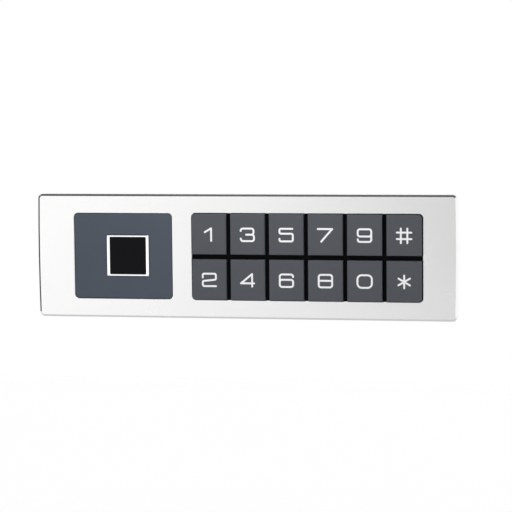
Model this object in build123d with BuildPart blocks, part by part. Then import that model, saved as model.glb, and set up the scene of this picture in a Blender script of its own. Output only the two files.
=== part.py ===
from build123d import *
import os

# Fingerprint scanner terminal with a keypad, for mounting through a cut-out in a door or a front panel.
# Millimetres, +Z up, +X to the right, the face looks towards -Y.
# The origin is the middle of the panel seat: the rear face of the gasket, where y = 0.
# Heights are counted forwards from that seat, so a height of 7 is the plane y = -7.

os.makedirs("parts", exist_ok=True)

# ---- driving dimensions: front frame ----
FRAME_WIDTH = 140.0
FRAME_HEIGHT = 41.0
FRAME_CORNER = 1.6
END_CROWN = 0.25
FRAME_WALL = 2.0
CAVITY_CORNER = 1.0
EDGE_CHAMFER = 0.65
WINDOW_CORNER = 1.35
WINDOW_EDGE = 0.2
CASE_BOSS_RADIUS = 2.75
CASE_HOLE_DEPTH = 3.2

# ---- heights in front of the seat ----
GASKET_TOP = 1.0
FLANGE_TOP = 3.0
PLATE_BACK = 4.4
FACE_BACK = 5.2
FACE_TOP = 7.0
PANEL_TOP = 6.85
BEZEL_TOP = 7.45
KEY_TOP = 8.0
BOARD_TOP = 0.6
BOARD_THICKNESS = 1.6
BOARD_BACK = BOARD_TOP - BOARD_THICKNESS
TUB_FLOOR = -13.2
TUB_BACK = -15.0

# ---- sensor side ----
SENSOR_WINDOW_X = -40.8
SENSOR_WINDOW_WIDTH = 33.3
SENSOR_WINDOW_HEIGHT = 28.4
SENSOR_X = -39.2
SENSOR_Z = 0.15
SENSOR_GLASS = 12.1
GLASS_BACK = 6.4
GLASS_CORNER = 0.2
GLASS_BEVEL = 0.08
BEZEL_WIDTH = 14.25
BEZEL_HEIGHT = 13.7
BEZEL_CORNER = 0.45
BEZEL_FLANGE_WIDTH = BEZEL_WIDTH + 2.9
BEZEL_FLANGE_HEIGHT = BEZEL_HEIGHT + 2.8
BEZEL_FLANGE_TOP = 4.9
BEZEL_FLANGE_CORNER = 0.5
BEZEL_FLANGE_GAP = 0.15
BEZEL_GAP = 0.05
BEZEL_BEVEL = 0.2
PANEL_GAP = 0.1
PANEL_EDGE = 0.25
PANEL_LIP_WIDTH = 39.6
PLATE_HEIGHT = 36.4
PLATE_CORNER = 1.5
SENSOR_BOARD_WIDTH = 22.0
SENSOR_BOARD_HEIGHT = 20.0
SENSOR_BOARD_BACK = 3.6
SENSOR_BOARD_CORNER = 0.8
PROCESSOR_SIZE = 7.0
PROCESSOR_HEIGHT = 0.9
BRACKET_BACK = 2.8
BRACKET_SCREW_SPACING = 28.0
BRACKET_Z = 1.0
BRACKET_WIDTH = 33.0
BRACKET_HEIGHT = 11.0
BRACKET_CORNER = 1.5
BRACKET_OPENING_WIDTH = 10.0
BRACKET_OPENING_HEIGHT = 8.4
BRACKET_OPENING_CORNER = 0.8
BRACKET_BOSS_RADIUS = 1.8
BRACKET_HOLE_DEPTH = 2.4
BRACKET_SCREW_LENGTH = 3.0
FLEX_Z = -8.3
FLEX_WIDTH = 8.0
FLEX_THICKNESS = 0.2
FLEX_REACH = 1.6
FLEX_FRONT = 3.0
FLEX_REAR = 1.0
FLEX_SHELL_WIDTH = 10.0
FLEX_SHELL_DEPTH = 3.0
FLEX_SHELL_HEIGHT = 1.0
FLEX_SLOT_WIDTH = 8.4
FLEX_SLOT_DEPTH = 1.8
FLEX_SLOT_HEIGHT = 0.3

# ---- keypad side ----
KEYPAD_X = 20.6
KEYPAD_WIDTH = 76.2
KEYPAD_HEIGHT = 28.6
KEY_COLUMNS = 6
KEY_SIDE_GAP = 0.25
KEY_END_GAP = 0.15
KEY_COLUMN_GAP = 1.38
KEY_ROW_GAP = 1.6
KEY_WIDTH = (KEYPAD_WIDTH - 2 * KEY_SIDE_GAP - (KEY_COLUMNS - 1) * KEY_COLUMN_GAP) / KEY_COLUMNS
KEY_HEIGHT = (KEYPAD_HEIGHT - 2 * KEY_END_GAP - KEY_ROW_GAP) / 2
KEY_PITCH_X = KEY_WIDTH + KEY_COLUMN_GAP
KEY_PITCH_Z = KEY_HEIGHT + KEY_ROW_GAP
KEY_EDGE = 0.3
KEY_CORNER = 0.35
KEY_OUTER_CORNER = 1.2
KEY_WALL = 1.2
KEY_CROWN_THICKNESS = 1.4
KEY_LIP = 0.45
KEY_LIP_TOP = 4.35
KEY_LIP_BACK = 3.65
KEY_POST_RADIUS = 2.5
KEY_POST_END = 2.9
KEY_GUIDE_GAP = 0.19
KEY_FRAME_WIDTH = 82.0
KEY_BAR_TOP = 6.4
KEY_BAR_END_GAP = 0.15
LEGEND_STROKE = 0.62
LEGEND_DEPTH = 0.35
LEGEND_PROUD = 0.03
LEGEND_DROP = 0.1

# ---- key mat and its contacts ----
MAT_WIDTH = 76.0
MAT_HEIGHT = 29.4
MAT_TOP = 1.6
DOME_TOP = 2.87
DOME_ROOF = 1.95
DOME_FOOT_RADIUS = 4.0
DOME_TIP_RADIUS = 2.6
HOLLOW_FOOT_RADIUS = 3.3
HOLLOW_TIP_RADIUS = 2.0
PILL_RADIUS = 1.5
PILL_THICKNESS = 0.4
PAD_RADIUS = 2.5
PAD_SPLIT = 0.4
PAD_THICKNESS = 0.05

# ---- main board ----
BOARD_WIDTH = 118.0
BOARD_HEIGHT = 29.6
BOARD_CORNER = 1.5
POST_Z = 11.8
SCREWED_POSTS_X = (-56.0, -21.0)
PLAIN_POSTS_X = (20.0, 56.0)
PIN_RADIUS = 0.75
PIN_HOLE = 0.85
PIN_LENGTH = 1.3
CHIP_STANDOFF = 0.1
MCU_X = -38.0
MCU_Z = 1.0
MCU_SIZE = 10.0
MCU_HEIGHT = 1.4
MCU_BEVEL = 0.15
MCU_LEAD_PITCH = 0.8
MCU_LEADS_PER_SIDE = 11
MCU_LEAD_WIDTH = 0.3
MCU_LEAD_REACH = 1.0
MCU_LEAD_HEIGHT = 0.2
CHIP_WIDTH = 4.9
CHIP_DEPTH = 3.9
CHIP_HEIGHT = 1.5
CHIP_BEVEL = 0.2
CHIP_LEAD_PITCH = 1.27
CHIP_LEADS_PER_SIDE = 4
CHIP_LEAD_WIDTH = 0.42
CHIP_LEAD_SPAN = 6.0
CHIP_LEAD_HEIGHT = 0.25
REGULATOR_X = 19.0
REGULATOR_Z = 4.5
REGULATOR_WIDTH = 6.5
REGULATOR_DEPTH = 3.5
REGULATOR_HEIGHT = 1.6
REGULATOR_LEAD_REACH = 1.4
REGULATOR_LEAD_OFFSET = 2.3
REGULATOR_TAB_WIDTH = 3.0
REGULATOR_LEAD_WIDTH = 0.7
REGULATOR_LEAD_PITCH = 2.3
CRYSTAL_X = -38.0
CRYSTAL_Z = -9.5
CRYSTAL_FOOT_WIDTH = 11.0
CRYSTAL_FOOT_DEPTH = 4.5
CRYSTAL_FOOT_HEIGHT = 0.5
CRYSTAL_WIDTH = 10.2
CRYSTAL_DEPTH = 3.7
CRYSTAL_HEIGHT = 3.3
CRYSTAL_EDGE = 0.5
CAPACITORS_X = -2.0
CAPACITORS_Z = -9.0
CAPACITOR_SPACING = 8.0
CAPACITOR_BASE = 6.6
CAPACITOR_BASE_HEIGHT = 0.7
CAPACITOR_RADIUS = 3.15
CAPACITOR_HEIGHT = 5.8
CAPACITOR_EDGE = 0.35
RESISTORS_X = -38.0
RESISTORS_Z = 10.6
RESISTOR_PITCH_X = 2.6
RESISTOR_PITCH_Z = 2.2
RESISTOR_WIDTH = 1.6
RESISTOR_DEPTH = 0.8
RESISTOR_HEIGHT = 0.5
BUZZER_X = 5.0
BUZZER_Z = 5.0
BUZZER_RADIUS = 6.0
BUZZER_HEIGHT = 6.5
BUZZER_EDGE = 0.4
BUZZER_HOLE_RADIUS = 1.2
BUZZER_HOLE_DEPTH = 1.5
SOCKET_X = 38.0
SOCKET_Z = 8.5
SOCKET_DEPTH = 5.8
SOCKET_LENGTH = 7.0
SOCKET_FLOOR = 1.5
SOCKET_WALL = 0.8
SOCKET_END = 1.2
PIN_PITCH = 2.5
PIN_WIDTH = 0.64
PIN_HEIGHT = 4.5

# ---- rear housing ----
FLANGE_WIDTH = 135.2
FLANGE_HEIGHT = 36.6
FLANGE_CORNER = 1.5
TUB_WIDTH = 125.0
TUB_HEIGHT = 34.0
TUB_CORNER = 3.0
TUB_WALL = 1.5
TUB_EDGE = 1.0
BOARD_POST_RADIUS = 2.5
BOARD_POST_HOLE_DEPTH = 6.0
RIB_THICKNESS = 1.2
RIB_HEIGHT = 2.0
RIBS_X = (-38.5, -8.0, 12.0)
CENTRING_RIB_WIDTH = 1.2
CENTRING_RIB_PROUD = 0.4
CENTRING_RIB_START = 0.2
CENTRING_RIB_LENGTH = 9.0
CENTRING_RIBS_X = (-50.0, -18.0, 18.0, 50.0)
CENTRING_RIBS_Z = (-8.0, 8.0)
CENTRING_RIB_SIDE = (
    (CENTRING_RIB_START, -CENTRING_RIB_PROUD),
    (CENTRING_RIB_START, CENTRING_RIB_PROUD),
    (CENTRING_RIB_START + CENTRING_RIB_LENGTH - 2 * CENTRING_RIB_PROUD, CENTRING_RIB_PROUD),
    (CENTRING_RIB_START + CENTRING_RIB_LENGTH, 0),
    (CENTRING_RIB_START + CENTRING_RIB_LENGTH, -CENTRING_RIB_PROUD),
)
SOUND_HOLE_RADIUS = 0.7
SOUND_HOLE_CIRCLE = 2.6
SOUND_HOLES = 6
LABEL_X = -22.0
LABEL_WIDTH = 36.0
LABEL_HEIGHT = 20.0
LABEL_CORNER = 1.0
LABEL_DEPTH = 0.3
CASE_SCREW_X = 64.8
CASE_SCREW_Z = 12.5
INSERT_SPACING = 104.0
INSERT_LENGTH = 8.0
INSERT_RADIUS = 3.0
INSERT_BORE = 1.65
INSERT_BOSS_RADIUS = 4.5
INSERT_BOSS_HEIGHT = 7.2
INSERT_FIT = 0.02
INSERT_GROOVES = (2.0, 5.0)
INSERT_GROOVE_WIDTH = 1.0
INSERT_GROOVE_DEPTH = 0.35
GROMMET_X = 30.0
GROMMET_BORE = 2.5
GROMMET_NECK = 4.0
GROMMET_FLANGE = 5.5
GROMMET_INNER_LIP = 1.0
GROMMET_OUTER_LIP = 1.2
GROMMET_EDGE = 0.5
GASKET_INSET = 0.7
GASKET_CLEARANCE = 0.5

# ---- screws ----
SMALL_SCREW_Z = 16.4
SMALL_SCREW_RADIUS = 0.75
SMALL_SCREW_HOLE = 0.8
SMALL_SCREW_PASSAGE = 0.9
SMALL_SCREW_HEAD = 1.4
SMALL_SCREW_HEAD_HEIGHT = 1.0
SMALL_SCREW_LENGTH = 2.0
TAPPED_DEPTH = 1.4
M2_RADIUS = 0.95
M2_HOLE = 1.0
M2_PASSAGE = 1.1
M2_HEAD = 1.9
BOARD_SCREW_HEAD_HEIGHT = 1.1
BOARD_SCREW_HEAD_EDGE = 0.4
BOARD_SCREW_LENGTH = 6.0
RECESS_WIDTH = 0.35
RECESS_SHARE = 0.6
SUNK_HEAD = 1.98
SUNK_SEAT = 2.0
SUNK_RECESS_LENGTH = 1.9
SUNK_RECESS_DEPTH = 0.6
CASE_SCREW_LENGTH = 5.0

SENSOR_SCREWS_X = (-55.0, -27.0)
KEY_FRAME_SCREWS_X = (-12.0, KEYPAD_X, 53.0)
KEY_ROWS = (("1", "3", "5", "7", "9", "hash"), ("2", "4", "6", "8", "0", "star"))


def front(height: float) -> Plane:
    """Plane at a height in front of the seat that faces forwards: local x is +X and local y is +Z."""
    return Plane.XZ.offset(height)


def rear(height: float) -> Plane:
    """Plane at the same place that faces backwards, towards the inside of the door."""
    return Plane(origin=(0, -height, 0), x_dir=(1, 0, 0), z_dir=(0, 1, 0))


def crowned_face(width: float, height: float, corner: float) -> Sketch:
    """Rectangle with slightly bowed short ends and rounded corners."""
    side = width / 2 - END_CROWN
    half = height / 2
    with BuildSketch() as face:
        with BuildLine():
            Line((-side, half), (side, half))
            ThreePointArc((side, half), (width / 2, 0), (side, -half))
            Line((side, -half), (-side, -half))
            ThreePointArc((-side, -half), (-width / 2, 0), (-side, half))
        make_face()
        fillet(face.vertices(), corner)
    return face.sketch


def mirrored_rows(columns, row: float) -> list:
    """Places at each column, once above and once below the middle line."""
    return [(x, side * row) for x in columns for side in (1, -1)]


def key_places() -> list:
    """Name and middle of every key, in reading order."""
    places = []
    for row, names in enumerate(KEY_ROWS):
        for column, name in enumerate(names):
            x = KEYPAD_X + (column - (KEY_COLUMNS - 1) / 2) * KEY_PITCH_X
            z = (0.5 - row) * KEY_PITCH_Z
            places.append((name, x, z))
    return places


KEY_CENTRES = [(x, z) for name, x, z in key_places()]


# ---------------------------------------------------------------- front frame
with BuildPart() as front_frame:
    with BuildSketch(front(GASKET_TOP)):
        add(crowned_face(FRAME_WIDTH, FRAME_HEIGHT, FRAME_CORNER))
    extrude(amount=FACE_TOP - GASKET_TOP)
    chamfer(front_frame.faces().sort_by(Axis.Y)[0].edges(), EDGE_CHAMFER)
    with BuildSketch(front(GASKET_TOP)):
        add(crowned_face(FRAME_WIDTH - 2 * FRAME_WALL, FRAME_HEIGHT - 2 * FRAME_WALL, CAVITY_CORNER))
    extrude(amount=FACE_BACK - GASKET_TOP, mode=Mode.SUBTRACT)
    with BuildSketch(front(FACE_BACK)):
        with Locations((SENSOR_WINDOW_X, 0)):
            RectangleRounded(SENSOR_WINDOW_WIDTH, SENSOR_WINDOW_HEIGHT, WINDOW_CORNER)
        with Locations((KEYPAD_X, 0)):
            RectangleRounded(KEYPAD_WIDTH, KEYPAD_HEIGHT, WINDOW_CORNER)
    extrude(amount=FACE_TOP - FACE_BACK, mode=Mode.SUBTRACT)
    face_edges = front_frame.faces().sort_by(Axis.Y)[0].inner_wires().edges()
    fillet(face_edges, WINDOW_EDGE)
    # bosses for the case screws
    with BuildSketch(front(FLANGE_TOP)):
        with GridLocations(2 * CASE_SCREW_X, 2 * CASE_SCREW_Z, 2, 2):
            Circle(CASE_BOSS_RADIUS)
    extrude(amount=FACE_BACK - FLANGE_TOP)
    with BuildSketch(front(FLANGE_TOP)):
        with GridLocations(2 * CASE_SCREW_X, 2 * CASE_SCREW_Z, 2, 2):
            Circle(M2_HOLE)
    extrude(amount=CASE_HOLE_DEPTH, mode=Mode.SUBTRACT)
    # blind tapped holes for the screws of the sensor panel and the key frame
    with BuildSketch(front(FACE_BACK)):
        with Locations(*mirrored_rows(SENSOR_SCREWS_X + KEY_FRAME_SCREWS_X, SMALL_SCREW_Z)):
            Circle(SMALL_SCREW_HOLE)
    extrude(amount=TAPPED_DEPTH, mode=Mode.SUBTRACT)
front_frame.part.label = "front_frame"
export_step(front_frame.part, "parts/front_frame.step")

# ---------------------------------------------------------------- sensor panel
BRACKET_SCREWS = [(SENSOR_X + side * BRACKET_SCREW_SPACING / 2, BRACKET_Z) for side in (-1, 1)]

with BuildPart() as sensor_panel:
    with BuildSketch(front(PLATE_BACK)):
        with Locations((SENSOR_WINDOW_X, 0)):
            RectangleRounded(PANEL_LIP_WIDTH, PLATE_HEIGHT, PLATE_CORNER)
    extrude(amount=FACE_BACK - PLATE_BACK)
    with BuildSketch(front(FACE_BACK)):
        with Locations((SENSOR_WINDOW_X, 0)):
            RectangleRounded(
                SENSOR_WINDOW_WIDTH - 2 * PANEL_GAP,
                SENSOR_WINDOW_HEIGHT - 2 * PANEL_GAP,
                WINDOW_CORNER - PANEL_GAP,
            )
    extrude(amount=PANEL_TOP - FACE_BACK)
    fillet(sensor_panel.faces().sort_by(Axis.Y)[0].edges(), PANEL_EDGE)
    # bosses for the clamp bracket
    with BuildSketch(front(SENSOR_BOARD_BACK)):
        with Locations(*BRACKET_SCREWS):
            Circle(BRACKET_BOSS_RADIUS)
    extrude(amount=PLATE_BACK - SENSOR_BOARD_BACK)
    with BuildSketch(front(SENSOR_BOARD_BACK)):
        with Locations(*BRACKET_SCREWS):
            Circle(SMALL_SCREW_HOLE)
    extrude(amount=BRACKET_HOLE_DEPTH, mode=Mode.SUBTRACT)
    # opening for the bezel, and the recess behind it for the bezel's flange and seal
    with BuildSketch(front(PLATE_BACK)):
        with Locations((SENSOR_X, SENSOR_Z)):
            RectangleRounded(
                BEZEL_WIDTH + 2 * BEZEL_GAP, BEZEL_HEIGHT + 2 * BEZEL_GAP, BEZEL_CORNER + BEZEL_GAP
            )
    extrude(amount=PANEL_TOP - PLATE_BACK, mode=Mode.SUBTRACT)
    with BuildSketch(front(PLATE_BACK)):
        with Locations((SENSOR_X, SENSOR_Z)):
            RectangleRounded(
                BEZEL_FLANGE_WIDTH + 2 * BEZEL_FLANGE_GAP,
                BEZEL_FLANGE_HEIGHT + 2 * BEZEL_FLANGE_GAP,
                BEZEL_FLANGE_CORNER + BEZEL_FLANGE_GAP,
            )
    extrude(amount=FACE_BACK - PLATE_BACK, mode=Mode.SUBTRACT)
    with BuildSketch(front(PLATE_BACK)):
        with Locations(*mirrored_rows(SENSOR_SCREWS_X, SMALL_SCREW_Z)):
            Circle(SMALL_SCREW_PASSAGE)
    extrude(amount=FACE_BACK - PLATE_BACK, mode=Mode.SUBTRACT)
sensor_panel.part.label = "sensor_panel"
export_step(sensor_panel.part, "parts/sensor_panel.step")

# ---------------------------------------------------------------- sensor bezel, seal, glass and package
BEZEL_INNER = SENSOR_GLASS + 2 * BEZEL_GAP

with BuildPart() as sensor_bezel:
    with BuildSketch(front(PLATE_BACK)):
        with Locations((SENSOR_X, SENSOR_Z)):
            RectangleRounded(BEZEL_WIDTH, BEZEL_HEIGHT, BEZEL_CORNER)
    extrude(amount=BEZEL_TOP - PLATE_BACK)
    chamfer(sensor_bezel.faces().sort_by(Axis.Y)[0].edges(), BEZEL_BEVEL)
    with BuildSketch(front(PLATE_BACK)):
        with Locations((SENSOR_X, SENSOR_Z)):
            RectangleRounded(BEZEL_FLANGE_WIDTH, BEZEL_FLANGE_HEIGHT, BEZEL_FLANGE_CORNER)
    extrude(amount=BEZEL_FLANGE_TOP - PLATE_BACK)
    with BuildSketch(front(PLATE_BACK)):
        with Locations((SENSOR_X, SENSOR_Z)):
            RectangleRounded(BEZEL_INNER, BEZEL_INNER, GLASS_CORNER)
    extrude(amount=BEZEL_TOP - PLATE_BACK, mode=Mode.SUBTRACT)
    inner_edges = sensor_bezel.faces().sort_by(Axis.Y)[0].inner_wires().edges()
    chamfer(inner_edges, BEZEL_BEVEL)
sensor_bezel.part.label = "sensor_bezel"
export_step(sensor_bezel.part, "parts/sensor_bezel.step")

with BuildPart() as sensor_seal:
    with BuildSketch(front(BEZEL_FLANGE_TOP)):
        with Locations((SENSOR_X, SENSOR_Z)):
            RectangleRounded(BEZEL_FLANGE_WIDTH, BEZEL_FLANGE_HEIGHT, BEZEL_FLANGE_CORNER)
            RectangleRounded(
                BEZEL_WIDTH + 2 * BEZEL_GAP, BEZEL_HEIGHT + 2 * BEZEL_GAP, BEZEL_CORNER, mode=Mode.SUBTRACT
            )
    extrude(amount=FACE_BACK - BEZEL_FLANGE_TOP)
sensor_seal.part.label = "sensor_seal"
export_step(sensor_seal.part, "parts/sensor_seal.step")

with BuildPart() as sensor_glass:
    with BuildSketch(front(GLASS_BACK)):
        with Locations((SENSOR_X, SENSOR_Z)):
            RectangleRounded(SENSOR_GLASS, SENSOR_GLASS, GLASS_CORNER)
    extrude(amount=FACE_TOP - GLASS_BACK)
    chamfer(sensor_glass.faces().sort_by(Axis.Y)[0].edges(), GLASS_BEVEL)
sensor_glass.part.label = "sensor_glass"
export_step(sensor_glass.part, "parts/sensor_glass.step")

with BuildPart() as sensor_package:
    with BuildSketch(front(PLATE_BACK)):
        with Locations((SENSOR_X, SENSOR_Z)):
            RectangleRounded(SENSOR_GLASS, SENSOR_GLASS, GLASS_CORNER)
    extrude(amount=GLASS_BACK - PLATE_BACK)
sensor_package.part.label = "sensor_package"
export_step(sensor_package.part, "parts/sensor_package.step")

# ---------------------------------------------------------------- sensor board and what it carries
with BuildPart() as sensor_board:
    with BuildSketch(front(SENSOR_BOARD_BACK)):
        with Locations((SENSOR_X, 0)):
            RectangleRounded(SENSOR_BOARD_WIDTH, SENSOR_BOARD_HEIGHT, SENSOR_BOARD_CORNER)
    extrude(amount=PLATE_BACK - SENSOR_BOARD_BACK)
sensor_board.part.label = "sensor_board"
export_step(sensor_board.part, "parts/sensor_board.step")

with BuildPart() as sensor_processor:
    with BuildSketch(rear(SENSOR_BOARD_BACK)):
        with Locations((SENSOR_X, -BRACKET_Z)):
            Rectangle(PROCESSOR_SIZE, PROCESSOR_SIZE)
    extrude(amount=PROCESSOR_HEIGHT)
    chamfer(sensor_processor.faces().sort_by(Axis.Y)[-1].edges(), CHIP_BEVEL)
sensor_processor.part.label = "sensor_processor"
export_step(sensor_processor.part, "parts/sensor_processor.step")

# Both ends of the flat lead enter a shell with a slot that opens downwards.
FLEX_SHELLS = (
    ("sensor_socket", SENSOR_BOARD_BACK - FLEX_SHELL_HEIGHT, FLEX_FRONT),
    ("flex_socket", BOARD_TOP, FLEX_REAR),
)
FLEX_MOUTH_Z = FLEX_Z - FLEX_SHELL_DEPTH / 2

for name, shell_back, slot_back in FLEX_SHELLS:
    with BuildPart() as socket:
        with BuildSketch(front(shell_back)):
            with Locations((SENSOR_X, FLEX_Z)):
                Rectangle(FLEX_SHELL_WIDTH, FLEX_SHELL_DEPTH)
        extrude(amount=FLEX_SHELL_HEIGHT)
        with BuildSketch(front(slot_back)):
            with Locations((SENSOR_X, FLEX_MOUTH_Z)):
                Rectangle(FLEX_SLOT_WIDTH, 2 * FLEX_SLOT_DEPTH)
        extrude(amount=FLEX_SLOT_HEIGHT, mode=Mode.SUBTRACT)
    socket.part.label = name
    export_step(socket.part, f"parts/{name}.step")

FLEX_BACK = FLEX_REAR + FLEX_THICKNESS
FLEX_BEND_Z = FLEX_MOUTH_Z - FLEX_REACH

with BuildPart() as sensor_flex:
    with BuildSketch(Plane.YZ.offset(SENSOR_X - FLEX_WIDTH / 2)):
        with BuildLine():
            bend = (FLEX_FRONT - FLEX_BACK) / 2
            middle = (FLEX_FRONT + FLEX_BACK) / 2
            reach = FLEX_MOUTH_Z + FLEX_REACH
            outer = bend + FLEX_THICKNESS
            Line((-middle - bend, reach), (-middle - bend, FLEX_BEND_Z))
            ThreePointArc(
                (-middle - bend, FLEX_BEND_Z), (-middle, FLEX_BEND_Z - bend), (-middle + bend, FLEX_BEND_Z)
            )
            Line((-middle + bend, FLEX_BEND_Z), (-middle + bend, reach))
            Line((-middle + bend, reach), (-middle + outer, reach))
            Line((-middle + outer, reach), (-middle + outer, FLEX_BEND_Z))
            ThreePointArc(
                (-middle + outer, FLEX_BEND_Z), (-middle, FLEX_BEND_Z - outer), (-middle - outer, FLEX_BEND_Z)
            )
            Line((-middle - outer, FLEX_BEND_Z), (-middle - outer, reach))
            Line((-middle - outer, reach), (-middle - bend, reach))
        make_face()
    extrude(amount=FLEX_WIDTH)
sensor_flex.part.label = "sensor_flex"
export_step(sensor_flex.part, "parts/sensor_flex.step")

with BuildPart() as sensor_bracket:
    with BuildSketch(front(BRACKET_BACK)):
        with Locations((SENSOR_X, BRACKET_Z)):
            RectangleRounded(BRACKET_WIDTH, BRACKET_HEIGHT, BRACKET_CORNER)
            RectangleRounded(
                BRACKET_OPENING_WIDTH, BRACKET_OPENING_HEIGHT, BRACKET_OPENING_CORNER, mode=Mode.SUBTRACT
            )
        with Locations(*BRACKET_SCREWS):
            Circle(SMALL_SCREW_PASSAGE, mode=Mode.SUBTRACT)
    extrude(amount=SENSOR_BOARD_BACK - BRACKET_BACK)
sensor_bracket.part.label = "sensor_bracket"
export_step(sensor_bracket.part, "parts/sensor_bracket.step")

# ---------------------------------------------------------------- key frame
with BuildPart() as key_frame:
    with BuildSketch(front(PLATE_BACK)):
        with Locations((KEYPAD_X, 0)):
            RectangleRounded(KEY_FRAME_WIDTH, PLATE_HEIGHT, PLATE_CORNER)
    extrude(amount=FACE_BACK - PLATE_BACK)
    with BuildSketch(front(FACE_BACK)):
        with Locations((KEYPAD_X, 0)):
            RectangleRounded(
                KEYPAD_WIDTH - 2 * KEY_BAR_END_GAP, KEYPAD_HEIGHT - 2 * KEY_BAR_END_GAP, WINDOW_CORNER
            )
    extrude(amount=KEY_BAR_TOP - FACE_BACK)
    with BuildSketch(front(PLATE_BACK)):
        with Locations(*KEY_CENTRES):
            Rectangle(KEY_WIDTH + 2 * KEY_GUIDE_GAP, KEY_HEIGHT + 2 * KEY_GUIDE_GAP)
    extrude(amount=KEY_BAR_TOP - PLATE_BACK, mode=Mode.SUBTRACT)
    with BuildSketch(front(PLATE_BACK)):
        with Locations(*mirrored_rows(KEY_FRAME_SCREWS_X, SMALL_SCREW_Z)):
            Circle(SMALL_SCREW_PASSAGE)
    extrude(amount=FACE_BACK - PLATE_BACK, mode=Mode.SUBTRACT)
key_frame.part.label = "key_frame"
export_step(key_frame.part, "parts/key_frame.step")

# ---------------------------------------------------------------- legends and keys
# Legends are drawn as round-ended strokes. LEGEND_X and LEGEND_Z are half the width and half the height
# of the stroke's middle line; every line is (bend radius, its points), every ring is
# (half width, top, bottom, bend radius).
LEGEND_X = 2.2
LEGEND_Z = 2.05
LEGEND_BEND = 0.75
HOOK_BEND = 0.5
STAR_X = 1.85
STAR_Z = 1.1
HASH_REACH = 2.35
HASH_BAR = 1.05
HOOK_END = 1.25
LOOP_TOP = 0.3
LEGEND_LINES = {
    "0": (),
    "1": ((0, ((-1.35, 0.8), (0.75, LEGEND_Z), (0.75, -LEGEND_Z))),),
    "2": (
        (
            HOOK_BEND,
            (
                (-LEGEND_X, 0.8),
                (-LEGEND_X, LEGEND_Z),
                (LEGEND_X, LEGEND_Z),
                (LEGEND_X, 0.1),
                (-LEGEND_X, -0.35),
                (-LEGEND_X, -LEGEND_Z),
                (LEGEND_X, -LEGEND_Z),
            ),
        ),
    ),
    "3": (
        (
            LEGEND_BEND,
            ((-LEGEND_X, HOOK_END), (-LEGEND_X, LEGEND_Z), (2.05, LEGEND_Z), (2.05, 0.05), (-0.4, 0.05)),
        ),
        (
            LEGEND_BEND,
            (
                (-0.4, 0.05),
                (LEGEND_X, 0.05),
                (LEGEND_X, -LEGEND_Z),
                (-LEGEND_X, -LEGEND_Z),
                (-LEGEND_X, -HOOK_END),
            ),
        ),
    ),
    "4": ((0, ((1.45, -LEGEND_Z), (1.45, LEGEND_Z), (-2.25, -1.0), (2.1, -1.0))),),
    "5": (
        (
            HOOK_BEND,
            (
                (2.05, LEGEND_Z),
                (-LEGEND_X, LEGEND_Z),
                (-LEGEND_X, 0.45),
                (LEGEND_X, 0.45),
                (LEGEND_X, -LEGEND_Z),
                (-LEGEND_X, -LEGEND_Z),
                (-LEGEND_X, -HOOK_END),
            ),
        ),
    ),
    "6": (
        (LEGEND_BEND, ((LEGEND_X, HOOK_END), (LEGEND_X, LEGEND_Z), (-LEGEND_X, LEGEND_Z), (-LEGEND_X, -1))),
    ),
    "7": ((0, ((-2.4, LEGEND_Z), (2.3, LEGEND_Z), (-1.3, -LEGEND_Z))),),
    "8": ((0, ((-LEGEND_X, 0.1), (LEGEND_X, 0.1))),),
    "9": (
        (LEGEND_BEND, ((-LEGEND_X, -HOOK_END), (-LEGEND_X, -LEGEND_Z), (LEGEND_X, -LEGEND_Z), (LEGEND_X, 1))),
    ),
    "hash": (
        (0, ((-HASH_BAR, HASH_REACH), (-HASH_BAR, -HASH_REACH))),
        (0, ((HASH_BAR, HASH_REACH), (HASH_BAR, -HASH_REACH))),
        (0, ((-HASH_REACH, HASH_BAR), (HASH_REACH, HASH_BAR))),
        (0, ((-HASH_REACH, -HASH_BAR), (HASH_REACH, -HASH_BAR))),
    ),
    "star": (
        (0, ((0, LEGEND_Z), (0, -LEGEND_Z))),
        (0, ((-STAR_X, STAR_Z), (STAR_X, -STAR_Z))),
        (0, ((-STAR_X, -STAR_Z), (STAR_X, STAR_Z))),
    ),
}
LEGEND_RINGS = {
    "0": (2.35, LEGEND_Z, -LEGEND_Z, 1.4),
    "6": (LEGEND_X, LOOP_TOP, -LEGEND_Z, LEGEND_BEND),
    "8": (LEGEND_X, LEGEND_Z, -LEGEND_Z, LEGEND_BEND),
    "9": (LEGEND_X, LEGEND_Z, -LOOP_TOP, LEGEND_BEND),
}


def legend_face(name: str) -> Sketch:
    """The outline of one legend, about its own middle."""
    with BuildSketch() as legend:
        if name in LEGEND_RINGS:
            half, top, bottom, bend = LEGEND_RINGS[name]
            with Locations((0, (top + bottom) / 2)):
                RectangleRounded(
                    2 * half + LEGEND_STROKE, top - bottom + LEGEND_STROKE, bend + LEGEND_STROKE / 2
                )
                RectangleRounded(
                    2 * half - LEGEND_STROKE,
                    top - bottom - LEGEND_STROKE,
                    bend - LEGEND_STROKE / 2,
                    mode=Mode.SUBTRACT,
                )
        for bend, points in LEGEND_LINES[name]:
            with BuildLine(mode=Mode.PRIVATE) as path:
                if bend:
                    FilletPolyline(*points, radius=bend)
                else:
                    Polyline(*points)
            for edge in path.edges():
                SlotArc(edge, LEGEND_STROKE)
    return legend.sketch


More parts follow.
